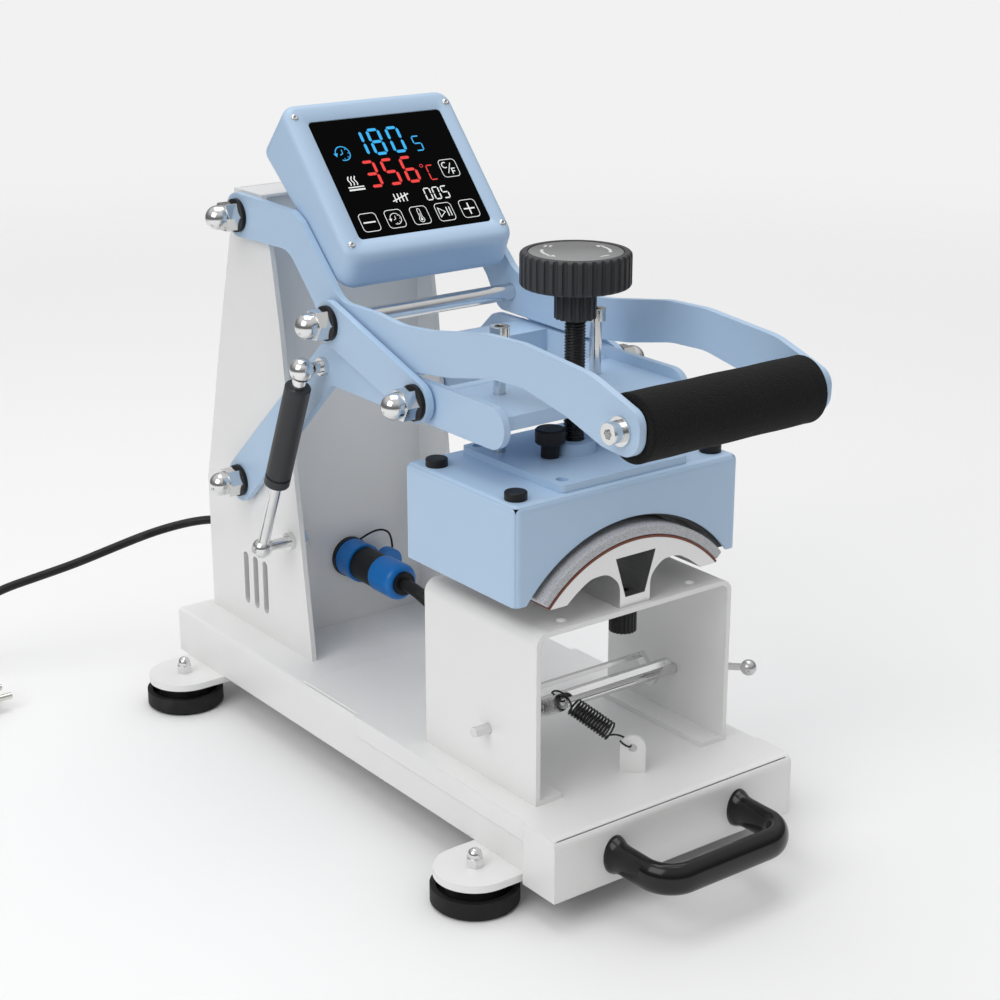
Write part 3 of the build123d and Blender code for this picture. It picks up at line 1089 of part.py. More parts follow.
strut_tube = Pos(0, 0, strut_len) * Sphere(STRUT_EYE_UP) + strut_bar(0, STRUT_TUBE_FROM + EPS, STRUT_NECK_D)
barrel = strut_bar(STRUT_TUBE_FROM, STRUT_TUBE_TO, STRUT_TUBE_D)
barrel = fillet(barrel.edges(), EPS)
strut_tube += barrel
strut_tube -= strut_bar(STRUT_BORE_FROM, STRUT_TUBE_TO + EPS, STRUT_ROD_D + 2 * PIN_FIT)
strut_tube -= strut_bar(STRUT_GROOVE, STRUT_GROOVE + STRUT_GROOVE_W, STRUT_TUBE_D + EPS) - strut_bar(
    STRUT_GROOVE - EPS, STRUT_GROOVE + STRUT_GROOVE_W + EPS, STRUT_TUBE_D - 2 * STRUT_GROOVE_T)
save("strut_tubes", *right_and_left(strut_frame * strut_tube))
strut_rod = strut_bar(STRUT_ROD_TOP, strut_len, STRUT_ROD_D) + Sphere(STRUT_EYE_DOWN)
strut_rod_solid = strut_frame * strut_rod
strut_rod_solid -= rod_x(STRUT_X - STRUT_TUBE_D, STRUT_X + STRUT_TUBE_D, PIVOT_FOOT, STUD_TIP_D + 2 * PIN_FIT)
save("strut_rods", *right_and_left(strut_rod_solid))

# ================================================================ head
cover = block(-HEAD_HALF, HEAD_HALF, HEAD_FRONT, HEAD_REAR, HEAD_Z, HEAD_TOP)
cover = fillet(cover.edges().filter_by(Axis.Z) + cover.edges().group_by(Axis.Z)[-1], HEAD_ROUND)
inside = HEAD_HALF - HEAD_WALL
cover -= block(-inside, inside, HEAD_FRONT + HEAD_WALL, HEAD_REAR - HEAD_WALL, HEAD_Z - EPS, HEAD_TOP - HEAD_WALL)
cover -= rod_y(HEAD_FRONT - EPS, HEAD_REAR + EPS, 0, ARCH_Z, 2 * COVER_ARCH_R)
screw_places = [(x, y) for x in (-CAP_X, CAP_X) for y in (CAP_FRONT, CAP_REAR)]
save("heat_cover", cover)

heater_y0 = HEAD_FRONT + HEAD_WALL + HEATER_INSET
heater_y1 = HEAD_REAR - HEAD_WALL - HEATER_INSET
heater = rod_y(heater_y0, heater_y1, 0, ARCH_Z, 2 * (HEATER_R + HEATER_T))
heater += rod_y(heater_y0, heater_y1, 0, ARCH_Z, 2 * HEATER_R)
heater = heater & block(-HEATER_HALF, HEATER_HALF, heater_y0 - EPS, heater_y1 + EPS, HEAD_Z + HEATER_LOW, HEAD_TOP)
for boss_x, boss_y in screw_places:
    heater += rod_z(HEAD_Z + HEATER_T, HEAD_TOP - HEAD_WALL, boss_x, boss_y, BOSS_D)
heater -= rod_y(heater_y0 - EPS, heater_y1 + EPS, 0, ARCH_Z, 2 * HEATER_R)
save("heater_platen", heater)

plate = block(-PLATE_HALF, PLATE_HALF, PLATE_FRONT, PLATE_REAR, HEAD_TOP, PLATE_Z)
plate = fillet(plate.edges().filter_by(Axis.Z), PLATE_ROUND)
for hole_x in (-PLATE_HOLE_X, PLATE_HOLE_X):
    for hole_y in (PLATE_HOLE_FRONT, PLATE_HOLE_REAR):
        plate -= rod_z(HEAD_TOP - EPS, PLATE_Z + EPS, hole_x, hole_y, PLATE_HOLE_D)
plate += rod_z(PLATE_Z, PLATE_Z + FLANGE_H, 0, SCREW_Y, FLANGE_D)
screw_low = PLATE_Z + FLANGE_H - FLANGE_BORE_DEEP
plate -= rod_z(screw_low, PLATE_Z + FLANGE_H + EPS, 0, SCREW_Y, SCREW_D + 2 * GUIDE_FIT)
plate -= rod_z(HEAD_TOP, PLATE_Z + EPS, THUMB_X, THUMB_Y, THUMB_SCREW_D + 2 * PIN_FIT)
save("head_plate", plate)

cap = rod_z(HEAD_TOP, HEAD_TOP + CAP_H, 0, 0, CAP_D)
cap = fillet(cap.edges().group_by(Axis.Z)[-1], EPS)
cap -= rod_z(HEAD_TOP - EPS, HEAD_TOP + CAP_HOLLOW_H, 0, 0, CAP_HOLLOW_D)
save("cover_caps", *[Pos(x, y, 0) * cap for x, y in screw_places])

guide = rod_z(PLATE_Z, GUIDE_TOP - GUIDE_HEAD_H, 0, 0, GUIDE_D)
guide += rod_z(GUIDE_TOP - GUIDE_HEAD_H, GUIDE_TOP, 0, 0, GUIDE_HEAD_D)
guide_hexagon = Plane.XY.offset(GUIDE_TOP - GRIP_HEX_DEEP) * RegularPolygon(GRIP_HEX / 2, 6, major_radius=False)
guide -= extrude(guide_hexagon, amount=GRIP_HEX_DEEP + EPS)
save("guide_bolts", *[Pos(x, GUIDE_Y, 0) * guide for x in (-GUIDE_X, GUIDE_X)])

thumb_z = PLATE_Z + SEAT_GAP
thumb = rod_z(thumb_z, thumb_z + THUMB_STEM_H, 0, 0, THUMB_STEM_D)
thumb_head = rod_z(thumb_z + THUMB_STEM_H, thumb_z + THUMB_STEM_H + THUMB_HEAD_H, 0, 0, THUMB_HEAD_D)
thumb += chamfer(thumb_head.edges(), THUMB_EDGE)
thumb += rod_z(HEAD_TOP + PIN_FIT, thumb_z + EPS, 0, 0, THUMB_SCREW_D)
save("thumb_screw", Pos(THUMB_X, THUMB_Y, 0) * thumb)

hub_bore_top = KNOB_Z + EPS
screw = rod_z(screw_low + PIN_FIT, hub_bore_top, 0, SCREW_Y, SCREW_D)
save("pressure_screw", screw)
knob = rod_z(KNOB_Z, KNOB_TOP, 0, 0, KNOB_D)
knob = fillet(knob.edges(), KNOB_EDGE)
for k in range(KNOB_RIBS):
    turn = 2 * math.pi * k / KNOB_RIBS
    knob -= rod_z(KNOB_Z - EPS, KNOB_TOP + EPS, KNOB_D / 2 * math.cos(turn), KNOB_D / 2 * math.sin(turn), KNOB_RIB_D)
knob -= rod_z(KNOB_TOP - KNOB_DISC_DEEP, KNOB_TOP + EPS, 0, 0, KNOB_DISC_D)
hub = rod_z(HUB_Z, KNOB_Z + EPS, 0, 0, HUB_D)
for k in range(HUB_FLUTES):
    turn = 2 * math.pi * k / HUB_FLUTES
    hub -= rod_z(HUB_Z - EPS, KNOB_Z, HUB_D / 2 * math.cos(turn), HUB_D / 2 * math.sin(turn), HUB_FLUTE_D)
knob += hub
knob -= rod_z(HUB_Z - EPS, hub_bore_top + PIN_FIT, 0, 0, SCREW_D + 2 * PIN_FIT)
save("pressure_knob", Pos(0, SCREW_Y, 0) * knob)
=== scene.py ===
"""Looks of the cap heat press, in metres, +Z up, with the operator on the -Y side."""
import json
import math

import bmesh
import bpy
import numpy as np
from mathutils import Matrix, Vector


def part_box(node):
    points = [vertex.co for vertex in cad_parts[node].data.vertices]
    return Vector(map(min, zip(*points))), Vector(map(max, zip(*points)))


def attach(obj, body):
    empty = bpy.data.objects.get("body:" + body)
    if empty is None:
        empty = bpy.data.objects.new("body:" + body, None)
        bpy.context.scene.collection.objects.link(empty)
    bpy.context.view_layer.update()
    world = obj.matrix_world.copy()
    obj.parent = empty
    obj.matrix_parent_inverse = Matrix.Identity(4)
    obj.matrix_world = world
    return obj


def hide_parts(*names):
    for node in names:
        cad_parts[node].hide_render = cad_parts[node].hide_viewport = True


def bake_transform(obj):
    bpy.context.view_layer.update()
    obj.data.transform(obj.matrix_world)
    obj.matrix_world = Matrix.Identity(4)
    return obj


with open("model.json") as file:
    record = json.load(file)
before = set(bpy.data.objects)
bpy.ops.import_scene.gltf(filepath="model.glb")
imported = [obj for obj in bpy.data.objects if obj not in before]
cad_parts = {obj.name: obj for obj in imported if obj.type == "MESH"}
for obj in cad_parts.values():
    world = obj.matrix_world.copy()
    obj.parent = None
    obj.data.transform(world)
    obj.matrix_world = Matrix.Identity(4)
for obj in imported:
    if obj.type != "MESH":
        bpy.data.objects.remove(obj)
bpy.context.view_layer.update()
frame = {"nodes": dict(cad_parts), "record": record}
nodes = frame["nodes"]
MM = 0.001


# ---------------------------------------------------------------- camera
CAMERA_AT = (-0.7913, -1.0723, 0.6629)
CAMERA_TURN = (70.98, 0.0, -37.05)
LENS_MM = 73.08
eye = bpy.data.cameras.new("photo_eye")
eye.lens = LENS_MM
eye.sensor_width = 36.0
eye.clip_start, eye.clip_end = 0.02, 200.0
camera = bpy.data.objects.new("photo_eye", eye)
camera.location = CAMERA_AT
camera.rotation_euler = [math.radians(a) for a in CAMERA_TURN]
bpy.context.scene.collection.objects.link(camera)
bpy.context.scene.camera = camera


# ---------------------------------------------------------------- surfaces from grids
def show(name, mesh, finish):
    """Puts a finished mesh into the scene under its name, with its finish."""
    piece = bpy.data.objects.new(name, mesh)
    bpy.context.scene.collection.objects.link(piece)
    mesh.materials.append(finish)
    return piece


def close_up(mesh, reach=1e-6):
    """Merges points that fall together, as at seams and poles, and turns every face outwards."""
    work = bmesh.new()
    work.from_mesh(mesh)
    bmesh.ops.remove_doubles(work, verts=work.verts, dist=reach)
    bmesh.ops.recalc_face_normals(work, faces=work.faces)
    work.to_mesh(mesh)
    work.free()
    mesh.shade_smooth()


def grid_faces(rows, columns, wrap_rows=False, wrap_columns=False):
    """Corner numbers of the quads between neighbouring rows and columns, wrapped where a direction is closed."""
    i = np.arange(rows if wrap_rows else rows - 1)[:, None]
    j = np.arange(columns if wrap_columns else columns - 1)[None, :]
    i2, j2 = (i + 1) % rows, (j + 1) % columns
    corners = [i * columns + j, i * columns + j2, i2 * columns + j2, i2 * columns + j]
    return np.stack([np.broadcast_to(c, (i.size, j.size)) for c in corners], axis=-1).reshape(-1, 4)


def grid_mesh(name, points, wrap_rows=False, wrap_columns=False):
    """Mesh through a rows by columns grid of points."""
    rows, columns = points.shape[:2]
    mesh = bpy.data.meshes.new(name)
    mesh.from_pydata(points.reshape(-1, 3).tolist(), [], grid_faces(rows, columns, wrap_rows, wrap_columns).tolist())
    close_up(mesh)
    return mesh


def turned(profile, around, centre, sides=96):
    """Grid of a turned piece: profile pairs (radius, place along the axis) carried round the axis
    X or Z through centre: point = centre + axis * place + radius * (cos a, sin a) across it."""
    profile = np.asarray(profile, float)
    a = np.linspace(0, 2 * math.pi, sides, endpoint=False)
    radius, along = profile[:, 0][None, :], profile[:, 1][None, :]
    flat = [radius * np.cos(a)[:, None], radius * np.sin(a)[:, None]]
    level = np.broadcast_to(along, flat[0].shape)
    parts = [level, flat[0], flat[1]] if around == "X" else [flat[0], flat[1], level]
    return np.stack(parts, axis=-1) + np.asarray(centre, float)


def rounded_ring(left, right, low, high, r, along=6, steps=8):
    """Closed ring of points round a rectangle with corner radius r, anticlockwise from the lower right:
    each corner is centre + r * (cos a, sin a), and each side has the same number of points on every ring."""
    ring = []
    for cx, cy, turn in ((right - r, low + r, -90), (right - r, high - r, 0), (left + r, high - r, 90), (left + r, low + r, 180)):
        a = np.radians(turn + np.linspace(0, 90, steps))
        ring.append(np.column_stack([cx + r * np.cos(a), cy + r * np.sin(a)]))
    whole = []
    for k, part in enumerate(ring):
        following = ring[(k + 1) % 4][0]
        share = np.linspace(0, 1, along + 2)[1:-1, None]
        whole += [part, part[-1] + (following - part[-1]) * share]
    return np.vstack(whole)


def tube_grid(path, radius, across, sides=24):
    """Grid of a round tube: at each path point the ring centre + r * (n cos a + b sin a), where n is
    square to the path's direction and to the fixed direction across, and b is square to both."""
    way = np.gradient(path, axis=0)
    way /= np.linalg.norm(way, axis=1, keepdims=True)
    n = np.cross(way, np.asarray(across, float))
    n /= np.linalg.norm(n, axis=1, keepdims=True)
    b = np.cross(way, n)
    a = np.linspace(0, 2 * math.pi, sides, endpoint=False)[None, :, None]
    return path[:, None, :] + radius * (n[:, None, :] * np.cos(a) + b[:, None, :] * np.sin(a))


# ---------------------------------------------------------------- cords
def nurbs(name, route, bevel=0.0):
    """Open spline with the route's points as its control points, order 3, through both end points."""
    line = bpy.data.curves.new(name, "CURVE")
    line.dimensions = "3D"
    spline = line.splines.new("NURBS")
    spline.points.add(len(route) - 1)
    spline.points.foreach_set("co", np.column_stack([route, np.ones(len(route))]).ravel())
    spline.order_u = 3
    spline.use_endpoint_u = True
    spline.resolution_u = 10
    line.bevel_depth = bevel
    line.bevel_resolution = 5
    line.use_fill_caps = True
    return line


def read_line(line):
    """Points of a spline with no bevel, as Blender works them out."""
    probe = bpy.data.objects.new("probe", line)
    mesh = bpy.data.meshes.new_from_object(probe)
    points = np.empty(len(mesh.vertices) * 3, np.float32)
    mesh.vertices.foreach_get("co", points)
    bpy.data.objects.remove(probe)
    bpy.data.meshes.remove(mesh)
    return points.reshape(-1, 3).astype(float)


def coil_points(start, first_radius, step, rise, turns_in=3, per_half=10):
    """Flat spiral that turns left by half circles from heading -X: half turn k has the radius
    first - k * step / 2, shrinking to the middle one, which climbs by rise, then growing again."""
    radii = first_radius - step / 2 * np.arange(2 * turns_in + 1)
    radii = np.concatenate([radii, radii[-2::-1]])
    climbs = np.where(np.arange(len(radii)) == 2 * turns_in, rise, 0.0)
    side = np.where(np.arange(len(radii)) % 2 == 0, -1.0, 1.0)
    base_y = start[1] + np.concatenate([[0.0], np.cumsum(2 * side * radii)[:-1]])
    base_z = start[2] + np.concatenate([[0.0], np.cumsum(climbs)[:-1]])
    a = (np.arange(per_half) + 0.5)[None, :] * math.pi / per_half
    x = start[0] + side[:, None] * radii[:, None] * np.sin(a)
    y = base_y[:, None] + side[:, None] * radii[:, None] * (1 - np.cos(a))
    z = base_z[:, None] + climbs[:, None] * a / math.pi
    end = np.array([start[0], base_y[-1] + 2 * side[-1] * radii[-1], base_z[-1] + climbs[-1]])
    return np.stack([x, y, z], axis=-1).reshape(-1, 3), end


RELIEF_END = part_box("mains_strain_relief")[1].y
MAINS_D = 7.0 * MM
MAINS_ROUTE = [
    (-22.0, 311.0, 104.0), (-28.4, 326.5, 103.0), (-40.4, 338.0, 100.8), (-57.0, 347.0, 97.3),
    (-78.0, 353.5, 92.8), (-104.0, 361.0, 85.0), (-136.0, 368.5, 75.8), (-166.0, 376.0, 69.0),
    (-197.0, 384.0, 62.0), (-228.0, 390.5, 48.5), (-257.0, 394.5, 29.0), (-284.0, 395.8, 12.5),
    (-311.0, 396.0, 3.8), (-338.0, 396.0, 3.8),
]
COIL_START = np.array([-350.0, 396.0, 3.8]) * MM
turns, coil_end = coil_points(COIL_START, 46.0 * MM, 7.7 * MM, 7.7 * MM)
TAIL = 62.0 * MM
tail_way = np.array([1.0, 0.0, 0.0])
mains_route = np.vstack([
    [[-0.022, RELIEF_END, 0.104]], np.array(MAINS_ROUTE) * MM, COIL_START[None, :], turns,
    coil_end[None, :], (coil_end + tail_way * TAIL * 0.3)[None, :], (coil_end + tail_way * TAIL * 0.65)[None, :],
    (coil_end + tail_way * TAIL)[None, :],
])
mains_line = nurbs("mains_cord", mains_route, MAINS_D / 2)


# ---------------------------------------------------------------- shader maths
class Signal:
    """One socket of a finish's nodes. Sums and products of signals and numbers add Math nodes."""

    def __init__(self, recipe, socket):
        self.recipe, self.socket = recipe, socket

    def _math(self, operation, first, second=0.0):
        return self.recipe.node("ShaderNodeMath", {"operation": operation}, {0: first, 1: second})

    def __add__(self, other):
        return self._math("ADD", self, other)

    def __mul__(self, other):
        return self._math("MULTIPLY", self, other)

    __radd__, __rmul__ = __add__, __mul__

    def __sub__(self, other):
        return self._math("SUBTRACT", self, other)

    def __rsub__(self, other):
        return self._math("SUBTRACT", other, self)

    def __gt__(self, other):
        return self._math("GREATER_THAN", self, other)

    def __pow__(self, other):
        return self._math("POWER", self, other)

    def sine(self):
        return self._math("SINE", self)

    def fade(self, low, high):
        """0 below low, 1 above high, smooth between."""
        return self.recipe.node(
            "ShaderNodeMapRange", {"interpolation_type": "SMOOTHSTEP"}, {0: self, 1: low, 2: high, 3: 0.0, 4: 1.0})


class Recipe:
    """A finish: one material on Object coordinates, with its Principled shader."""

    def __init__(self, name, colour, roughness, metallic=0.0, **plain):
        self.material = bpy.data.materials.new(name)
        self.material.use_nodes = True
        self.tree = self.material.node_tree
        self.shader = next(n for n in self.tree.nodes if n.type == "BSDF_PRINCIPLED")
        self.place = self.node("ShaderNodeTexCoord", out="Object")
        self.set("Base Color", (*colour, 1.0))
        self.set("Roughness", roughness)
        self.set("Metallic", metallic)
        for socket, value in plain.items():
            self.set(socket.replace("_", " "), value)

    def node(self, kind, settings=None, sockets=None, out=0):
        made = self.tree.nodes.new(kind)
        for key, value in (settings or {}).items():
            setattr(made, key, value)
        for key, value in (sockets or {}).items():
            if isinstance(value, Signal):
                self.tree.links.new(value.socket, made.inputs[key])
            else:
                made.inputs[key].default_value = value
        return Signal(self, made.outputs[out])

    def set(self, socket, value):
        if isinstance(value, Signal):
            self.tree.links.new(value.socket, self.shader.inputs[socket])
        else:
            self.shader.inputs[socket].default_value = value

    def axis(self, letter):
        return self.node("ShaderNodeSeparateXYZ", None, {0: self.place}, letter)

    def noise(self, per_metre, detail=2.0, stretch=(1.0, 1.0, 1.0), rough=0.5):
        spot = self.node("ShaderNodeMapping", None, {0: self.place, 3: stretch})
        return self.node("ShaderNodeTexNoise", None, {"Vector": spot, "Scale": per_metre, "Detail": detail, "Roughness": rough})

    def cells(self, per_metre):
        return self.node("ShaderNodeTexVoronoi", None, {"Vector": self.place, "Scale": per_metre})

    def mix(self, factor, first, second):
        first, second = (c if isinstance(c, Signal) else (*c, 1.0) for c in (first, second))
        return self.node("ShaderNodeMix", {"data_type": "RGBA"}, {0: factor, 6: first, 7: second}, 2)

    def relief(self, height, depth, edge=0.0):
        """Bump of a height signal from 0 to 1 that is depth metres deep, over edges eased by the radius edge."""
        sockets = {"Strength": 1.0, "Distance": depth, "Height": height}
        if edge:
            sockets["Normal"] = self.node("ShaderNodeBevel", {"samples": 4}, {"Radius": edge})
        self.set("Normal", self.node("ShaderNodeBump", None, sockets))
        return self


def shade(colour, share):
    return tuple(c * share for c in colour)


def powder_coat(name, colour, gloss=0.34):
    """Sprayed and baked paint: a fine orange peel, slow changes of tone, a dull bloom in patches."""
    r = Recipe(name, colour, gloss, Coat_Weight=0.12, Coat_Roughness=0.2)
    tone = r.noise(9.0, 3.0).fade(0.3, 0.7)
    r.set("Base Color", r.mix(tone, shade(colour, 0.975), colour))
    r.set("Roughness", r.noise(40.0, 3.0) * 0.12 + (gloss - 0.05))
    return r.relief(r.noise(620.0, 2.0), 0.00006, 0.0007).material


def bright_metal(name, colour=(0.80, 0.80, 0.80), gloss=0.12):
    """Plated steel: hairline turning marks, faint smears in the shine."""
    r = Recipe(name, colour, gloss, 1.0)
    r.set("Roughness", r.noise(160.0, 4.0) * 0.16 + (gloss - 0.06))
    r.set("Base Color", r.mix(r.noise(70.0, 3.0), shade(colour, 0.86), colour))
    return r.relief(r.noise(900.0, 3.0, (1.0, 0.12, 1.0)), 0.000012, 0.0004).material


def drawn_metal(name, colour, gloss, along):
    """Zinc or mill finish with lines drawn along one axis."""
    r = Recipe(name, colour, gloss, 1.0)
    stretch = tuple(0.02 if a == along else 1.0 for a in "XYZ")
    lines = r.noise(1500.0, 3.0, stretch)
    r.set("Roughness", lines * 0.18 + (gloss - 0.08))
    r.set("Base Color", r.mix(lines, shade(colour, 0.8), colour))
    return r.relief(lines, 0.00002, 0.0003).material


def moulded(name, colour, gloss, grain=0.00003, per_metre=1800.0, **plain):
    """Injection-moulded plastic with a fine spark grain and rubbed patches."""
    r = Recipe(name, colour, gloss, 0.0, **plain)
    rub = r.noise(30.0, 4.0)
    r.set("Roughness", rub * 0.14 + (gloss - 0.07))
    r.set("Base Color", r.mix(rub, shade(colour, 0.82), colour))
    return r.relief(r.noise(per_metre, 2.0), grain, 0.0005).material


def rubbery(name, colour, gloss=0.62, grain=0.00005):
    """Moulded rubber: matt, with a dusty bloom in patches."""
    r = Recipe(name, colour, gloss, Specular_IOR_Level=0.25)
    bloom = r.noise(55.0, 5.0).fade(0.45, 0.75)
    r.set("Base Color", r.mix(bloom, colour, tuple(c + 0.018 for c in colour)))
    r.set("Roughness", bloom * 0.12 + gloss)
    return r.relief(r.noise(1400.0, 3.0), grain, 0.0006).material


def foam(name, colour, per_metre, depth, sheen):
    """Cellular foam: packed round cells, each a small pit whose bottom is darkened by painted shade."""
    r = Recipe(name, colour, 0.9, 0.0, Sheen_Weight=sheen, Sheen_Roughness=0.6, Specular_IOR_Level=0.12)
    pits = r.cells(per_metre)
    coarse = r.noise(per_metre * 0.22, 3.0)
    # painted shade: the base colour falls to 0.7 of itself towards the bottom of each pit
    r.set("Base Color", r.mix(pits.fade(0.1, 0.6), shade(colour, 0.7), colour))
    return r.relief(pits + coarse * 0.8, depth).material


def sheath(name, colour):
    """Extruded cable sheath: satin, with faint lines and dust."""
    r = Recipe(name, colour, 0.42, Specular_IOR_Level=0.3)
    dust = r.noise(80.0, 4.0).fade(0.5, 0.8)
    r.set("Base Color", r.mix(dust, colour, tuple(c + 0.02 for c in colour)))
    r.set("Roughness", dust * 0.2 + 0.38)
    return r.relief(r.noise(1100.0, 2.0), 0.00003).material


def lit(name, colour, strength=1.0):
    """Lit segment behind the window: even light, a little weaker in fine grains."""
    r = Recipe(name, shade(colour, 0.1), 0.4, 0.0, Emission_Strength=strength)
    r.set("Emission Color", r.mix(r.noise(2500.0, 1.0), shade(colour, 0.9), colour))
    return r.material


def mains_plug_finish():
    """Matt black moulding whose two pins, past the face at PLUG_FACE, are bare nickel."""
    r = Recipe("plug_moulding", (0.02, 0.02, 0.021), 0.5)
    pin = r.axis("X") > PLUG_FACE
    r.set("Base Color", r.mix(pin, (0.02, 0.02, 0.021), (0.7, 0.68, 0.62)))
    r.set("Metallic", pin * 1.0)
    r.set("Roughness", 0.55 - pin * 0.35 + r.noise(60.0, 3.0) * 0.1)
    return r.relief(r.noise(1500.0, 2.0), 0.00003, 0.0005).material


def strut_finish():
    """Dark enamel on the strut's tube. Past STRUT_NECK along the strut the neck and eye are bright plated."""
    r = Recipe("strut_enamel", (0.03, 0.031, 0.034), 0.34, Specular_IOR_Level=0.4)
    along = r.axis("Y") * STRUT_WAY[0] + r.axis("Z") * STRUT_WAY[1]
    bare = along > STRUT_NECK
    r.set("Base Color", r.mix(bare, (0.03, 0.031, 0.034), (0.8, 0.8, 0.8)))
    r.set("Metallic", bare * 1.0)
    r.set("Roughness", 0.36 - bare * 0.24 + r.noise(160.0, 4.0) * 0.08)
    return r.relief(r.noise(900.0, 2.0), 0.00001, 0.0004).material


WHITE = (0.885, 0.885, 0.88)
PALE_BLUE = (0.475, 0.64, 0.84)
BLACK = (0.01, 0.01, 0.011)
STRUT_WAY = (-0.393704, 0.919237)
STRUT_NECK = 0.1387 * STRUT_WAY[0] + 0.1481 * STRUT_WAY[1] + 0.1472
PLUG_FACE = coil_end[0] + TAIL + 38.2 * MM
FINISHES = {
    "white_paint": powder_coat("white_powder_coat", WHITE),
    "blue_paint": powder_coat("pale_blue_powder_coat", PALE_BLUE, 0.38),
    "blue_housing": powder_coat("pale_blue_case", PALE_BLUE, 0.42),
    "black_rubber": rubbery("foot_rubber", (0.012, 0.012, 0.012)),
    "bright_steel": bright_metal("bright_plating"),
    "plain_steel": drawn_metal("zinc_plating", (0.66, 0.66, 0.67), 0.3, "Y"),
    "black_washer": moulded("black_nylon", BLACK, 0.42, Specular_IOR_Level=0.3),
    "black_steel": bright_metal("black_oxide", (0.05, 0.05, 0.052), 0.26),
    "dark_knob": moulded("knob_plastic", (0.055, 0.056, 0.06), 0.42, 0.00005, Specular_IOR_Level=0.35),
    "gas_strut": strut_finish(),
    "connector_blue": moulded("blue_plastic", (0.0, 0.19, 0.62), 0.3, 0.00002),
    "lead_sheath": sheath("black_sheath", (0.01, 0.01, 0.01)),
    "handle_black": moulded("glossy_black", (0.004, 0.004, 0.004), 0.16, 0.000006, 300.0, Specular_IOR_Level=0.45),
    "cast_alloy": drawn_metal("milled_alloy", (0.82, 0.82, 0.82), 0.34, "Y"),
    "coated_heater": moulded("non_stick_coat", (0.07, 0.07, 0.072), 0.5, 0.00004),
    "silicone_sheet": rubbery("silicone_sheet", (0.22, 0.07, 0.045), 0.5),
    "foam": foam("silicone_foam", (0.56, 0.57, 0.6), 900.0, 0.00022, 0.1),
    "grip_foam": foam("grip_foam", (0.009, 0.009, 0.009), 1100.0, 0.0005, 0.05),
    "display_glass": moulded("black_glass", (0.001, 0.001, 0.001), 0.12, 0.000001, 200.0, Specular_IOR_Level=0.03),
}
for part in frame["record"]["subparts"]:
    for holder in nodes[part["node"]].material_slots:
        holder.material = FINISHES[part["material_slot"]]
nodes["mains_plug"].material_slots[0].material = mains_plug_finish()
for alloy in ("strut_rods",):
    nodes[alloy].material_slots[0].material = FINISHES["bright_steel"]


# ---------------------------------------------------------------- the cords as pieces
mains = bpy.data.objects.new("mains_cord", mains_line)
bpy.context.scene.collection.objects.link(mains)
mains_line.materials.append(FINISHES["lead_sheath"])
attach(mains, "stand")
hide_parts("mains_lead", "mains_coil")

LEAD_D = 9.5 * MM
LEAD_ROUTE = np.array([
    (-2.0, 80.0, 113.0), (-2.0, 77.0, 113.0), (0.0, 62.3, 107.0), (5.9, 48.8, 98.5), (12.6, 33.4, 96.1),
    (19.1, 18.6, 101.4), (24.0, 8.0, 113.2), (26.5, 3.2, 130.1), (28.0, 3.5, 156.0), (30.0, 5.5, 181.0),
    (30.0, 6.5, 205.0), (30.0, -1.7, 220.5), (30.0, -16.7, 229.5), (30.0, -34.0, 229.5),
]) * MM
lead_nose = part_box("plug_body")[0].y
LEAD_ROUTE[0, 1] = lead_nose
lead_path = read_line(nurbs("lead_line", LEAD_ROUTE))
split = int(np.argmin(np.abs(lead_path[:, 2] - 0.197)))
lead_grid = tube_grid(lead_path, LEAD_D / 2, (1.0, 0.0, 0.0))
for name, rows, bodies, ends in (
    ("heater_cord_low", slice(0, split + 1), ("stand", "swing"), (0, split)),
    ("heater_cord_high", slice(split, None), ("swing", "head"), (split, -1)),
):
    cord = show(name, grid_mesh(name, lead_grid[rows], wrap_columns=True), FINISHES["lead_sheath"])
    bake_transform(cord)
    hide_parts("heater_lead")

TETHER_D = 1.6 * MM
TETHER = np.array([
    (2.0, 156.0, 128.6), (10.0, 152.5, 134.2), (20.5, 151.0, 134.4), (27.5, 151.0, 128.0), (28.0, 151.0, 117.8),
]) * MM
tether_line = nurbs("cap_tether", TETHER, TETHER_D / 2)
tether = bpy.data.objects.new("cap_tether", tether_line)
bpy.context.scene.collection.objects.link(tether)
tether_line.materials.append(FINISHES["black_washer"])
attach(tether, "stand")
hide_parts("dust_cap_tether")

# ---------------------------------------------------------------- coil spring
spring_mesh = nodes["stretch_spring"].data.copy()
close_up(spring_mesh, 1e-5)
spring_mesh.materials.clear()
spring = show("coil_spring", spring_mesh, FINISHES["black_steel"])
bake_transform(spring)
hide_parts("stretch_spring")

# ---------------------------------------------------------------- foam sleeve and press pad
low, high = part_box("foam_grip")
GRIP_R = (high.z - low.z) / 2
grip_at = ((high.x + low.x) / 2, (high.y + low.y) / 2, (high.z + low.z) / 2)
half = (high.x - low.x) / 2
EDGE = 1.6 * MM
BORE = 11.2 * MM
t = np.linspace(0, math.pi / 2, 7)
corner = np.column_stack([GRIP_R - EDGE + EDGE * np.sin(t), -half + EDGE - EDGE * np.cos(t)])
barrel = np.column_stack([np.full(25, GRIP_R), np.linspace(-half + EDGE, half - EDGE, 27)[1:-1]])
barrel[:, 0] -= 0.25 * MM * (0.5 - 0.5 * np.cos(barrel[:, 1] / half * 3 * math.pi))
far_corner = corner[::-1] * [1, -1]
sleeve = np.vstack([[[BORE, -half]], corner, barrel, far_corner, [[BORE, half]]])
grip = show("grip_sleeve", grid_mesh("grip_sleeve", turned(sleeve, "X", grip_at), wrap_rows=True, wrap_columns=True),
            FINISHES["grip_foam"])
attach(grip, "lever")
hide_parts("foam_grip")

PAD_CENTRE = 130.0 * MM
PAD_IN, PAD_OUT = 94.25 * MM, 101.0 * MM
PAD_LEAN = math.radians(47.9)
pad_low, pad_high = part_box("foam_pad")


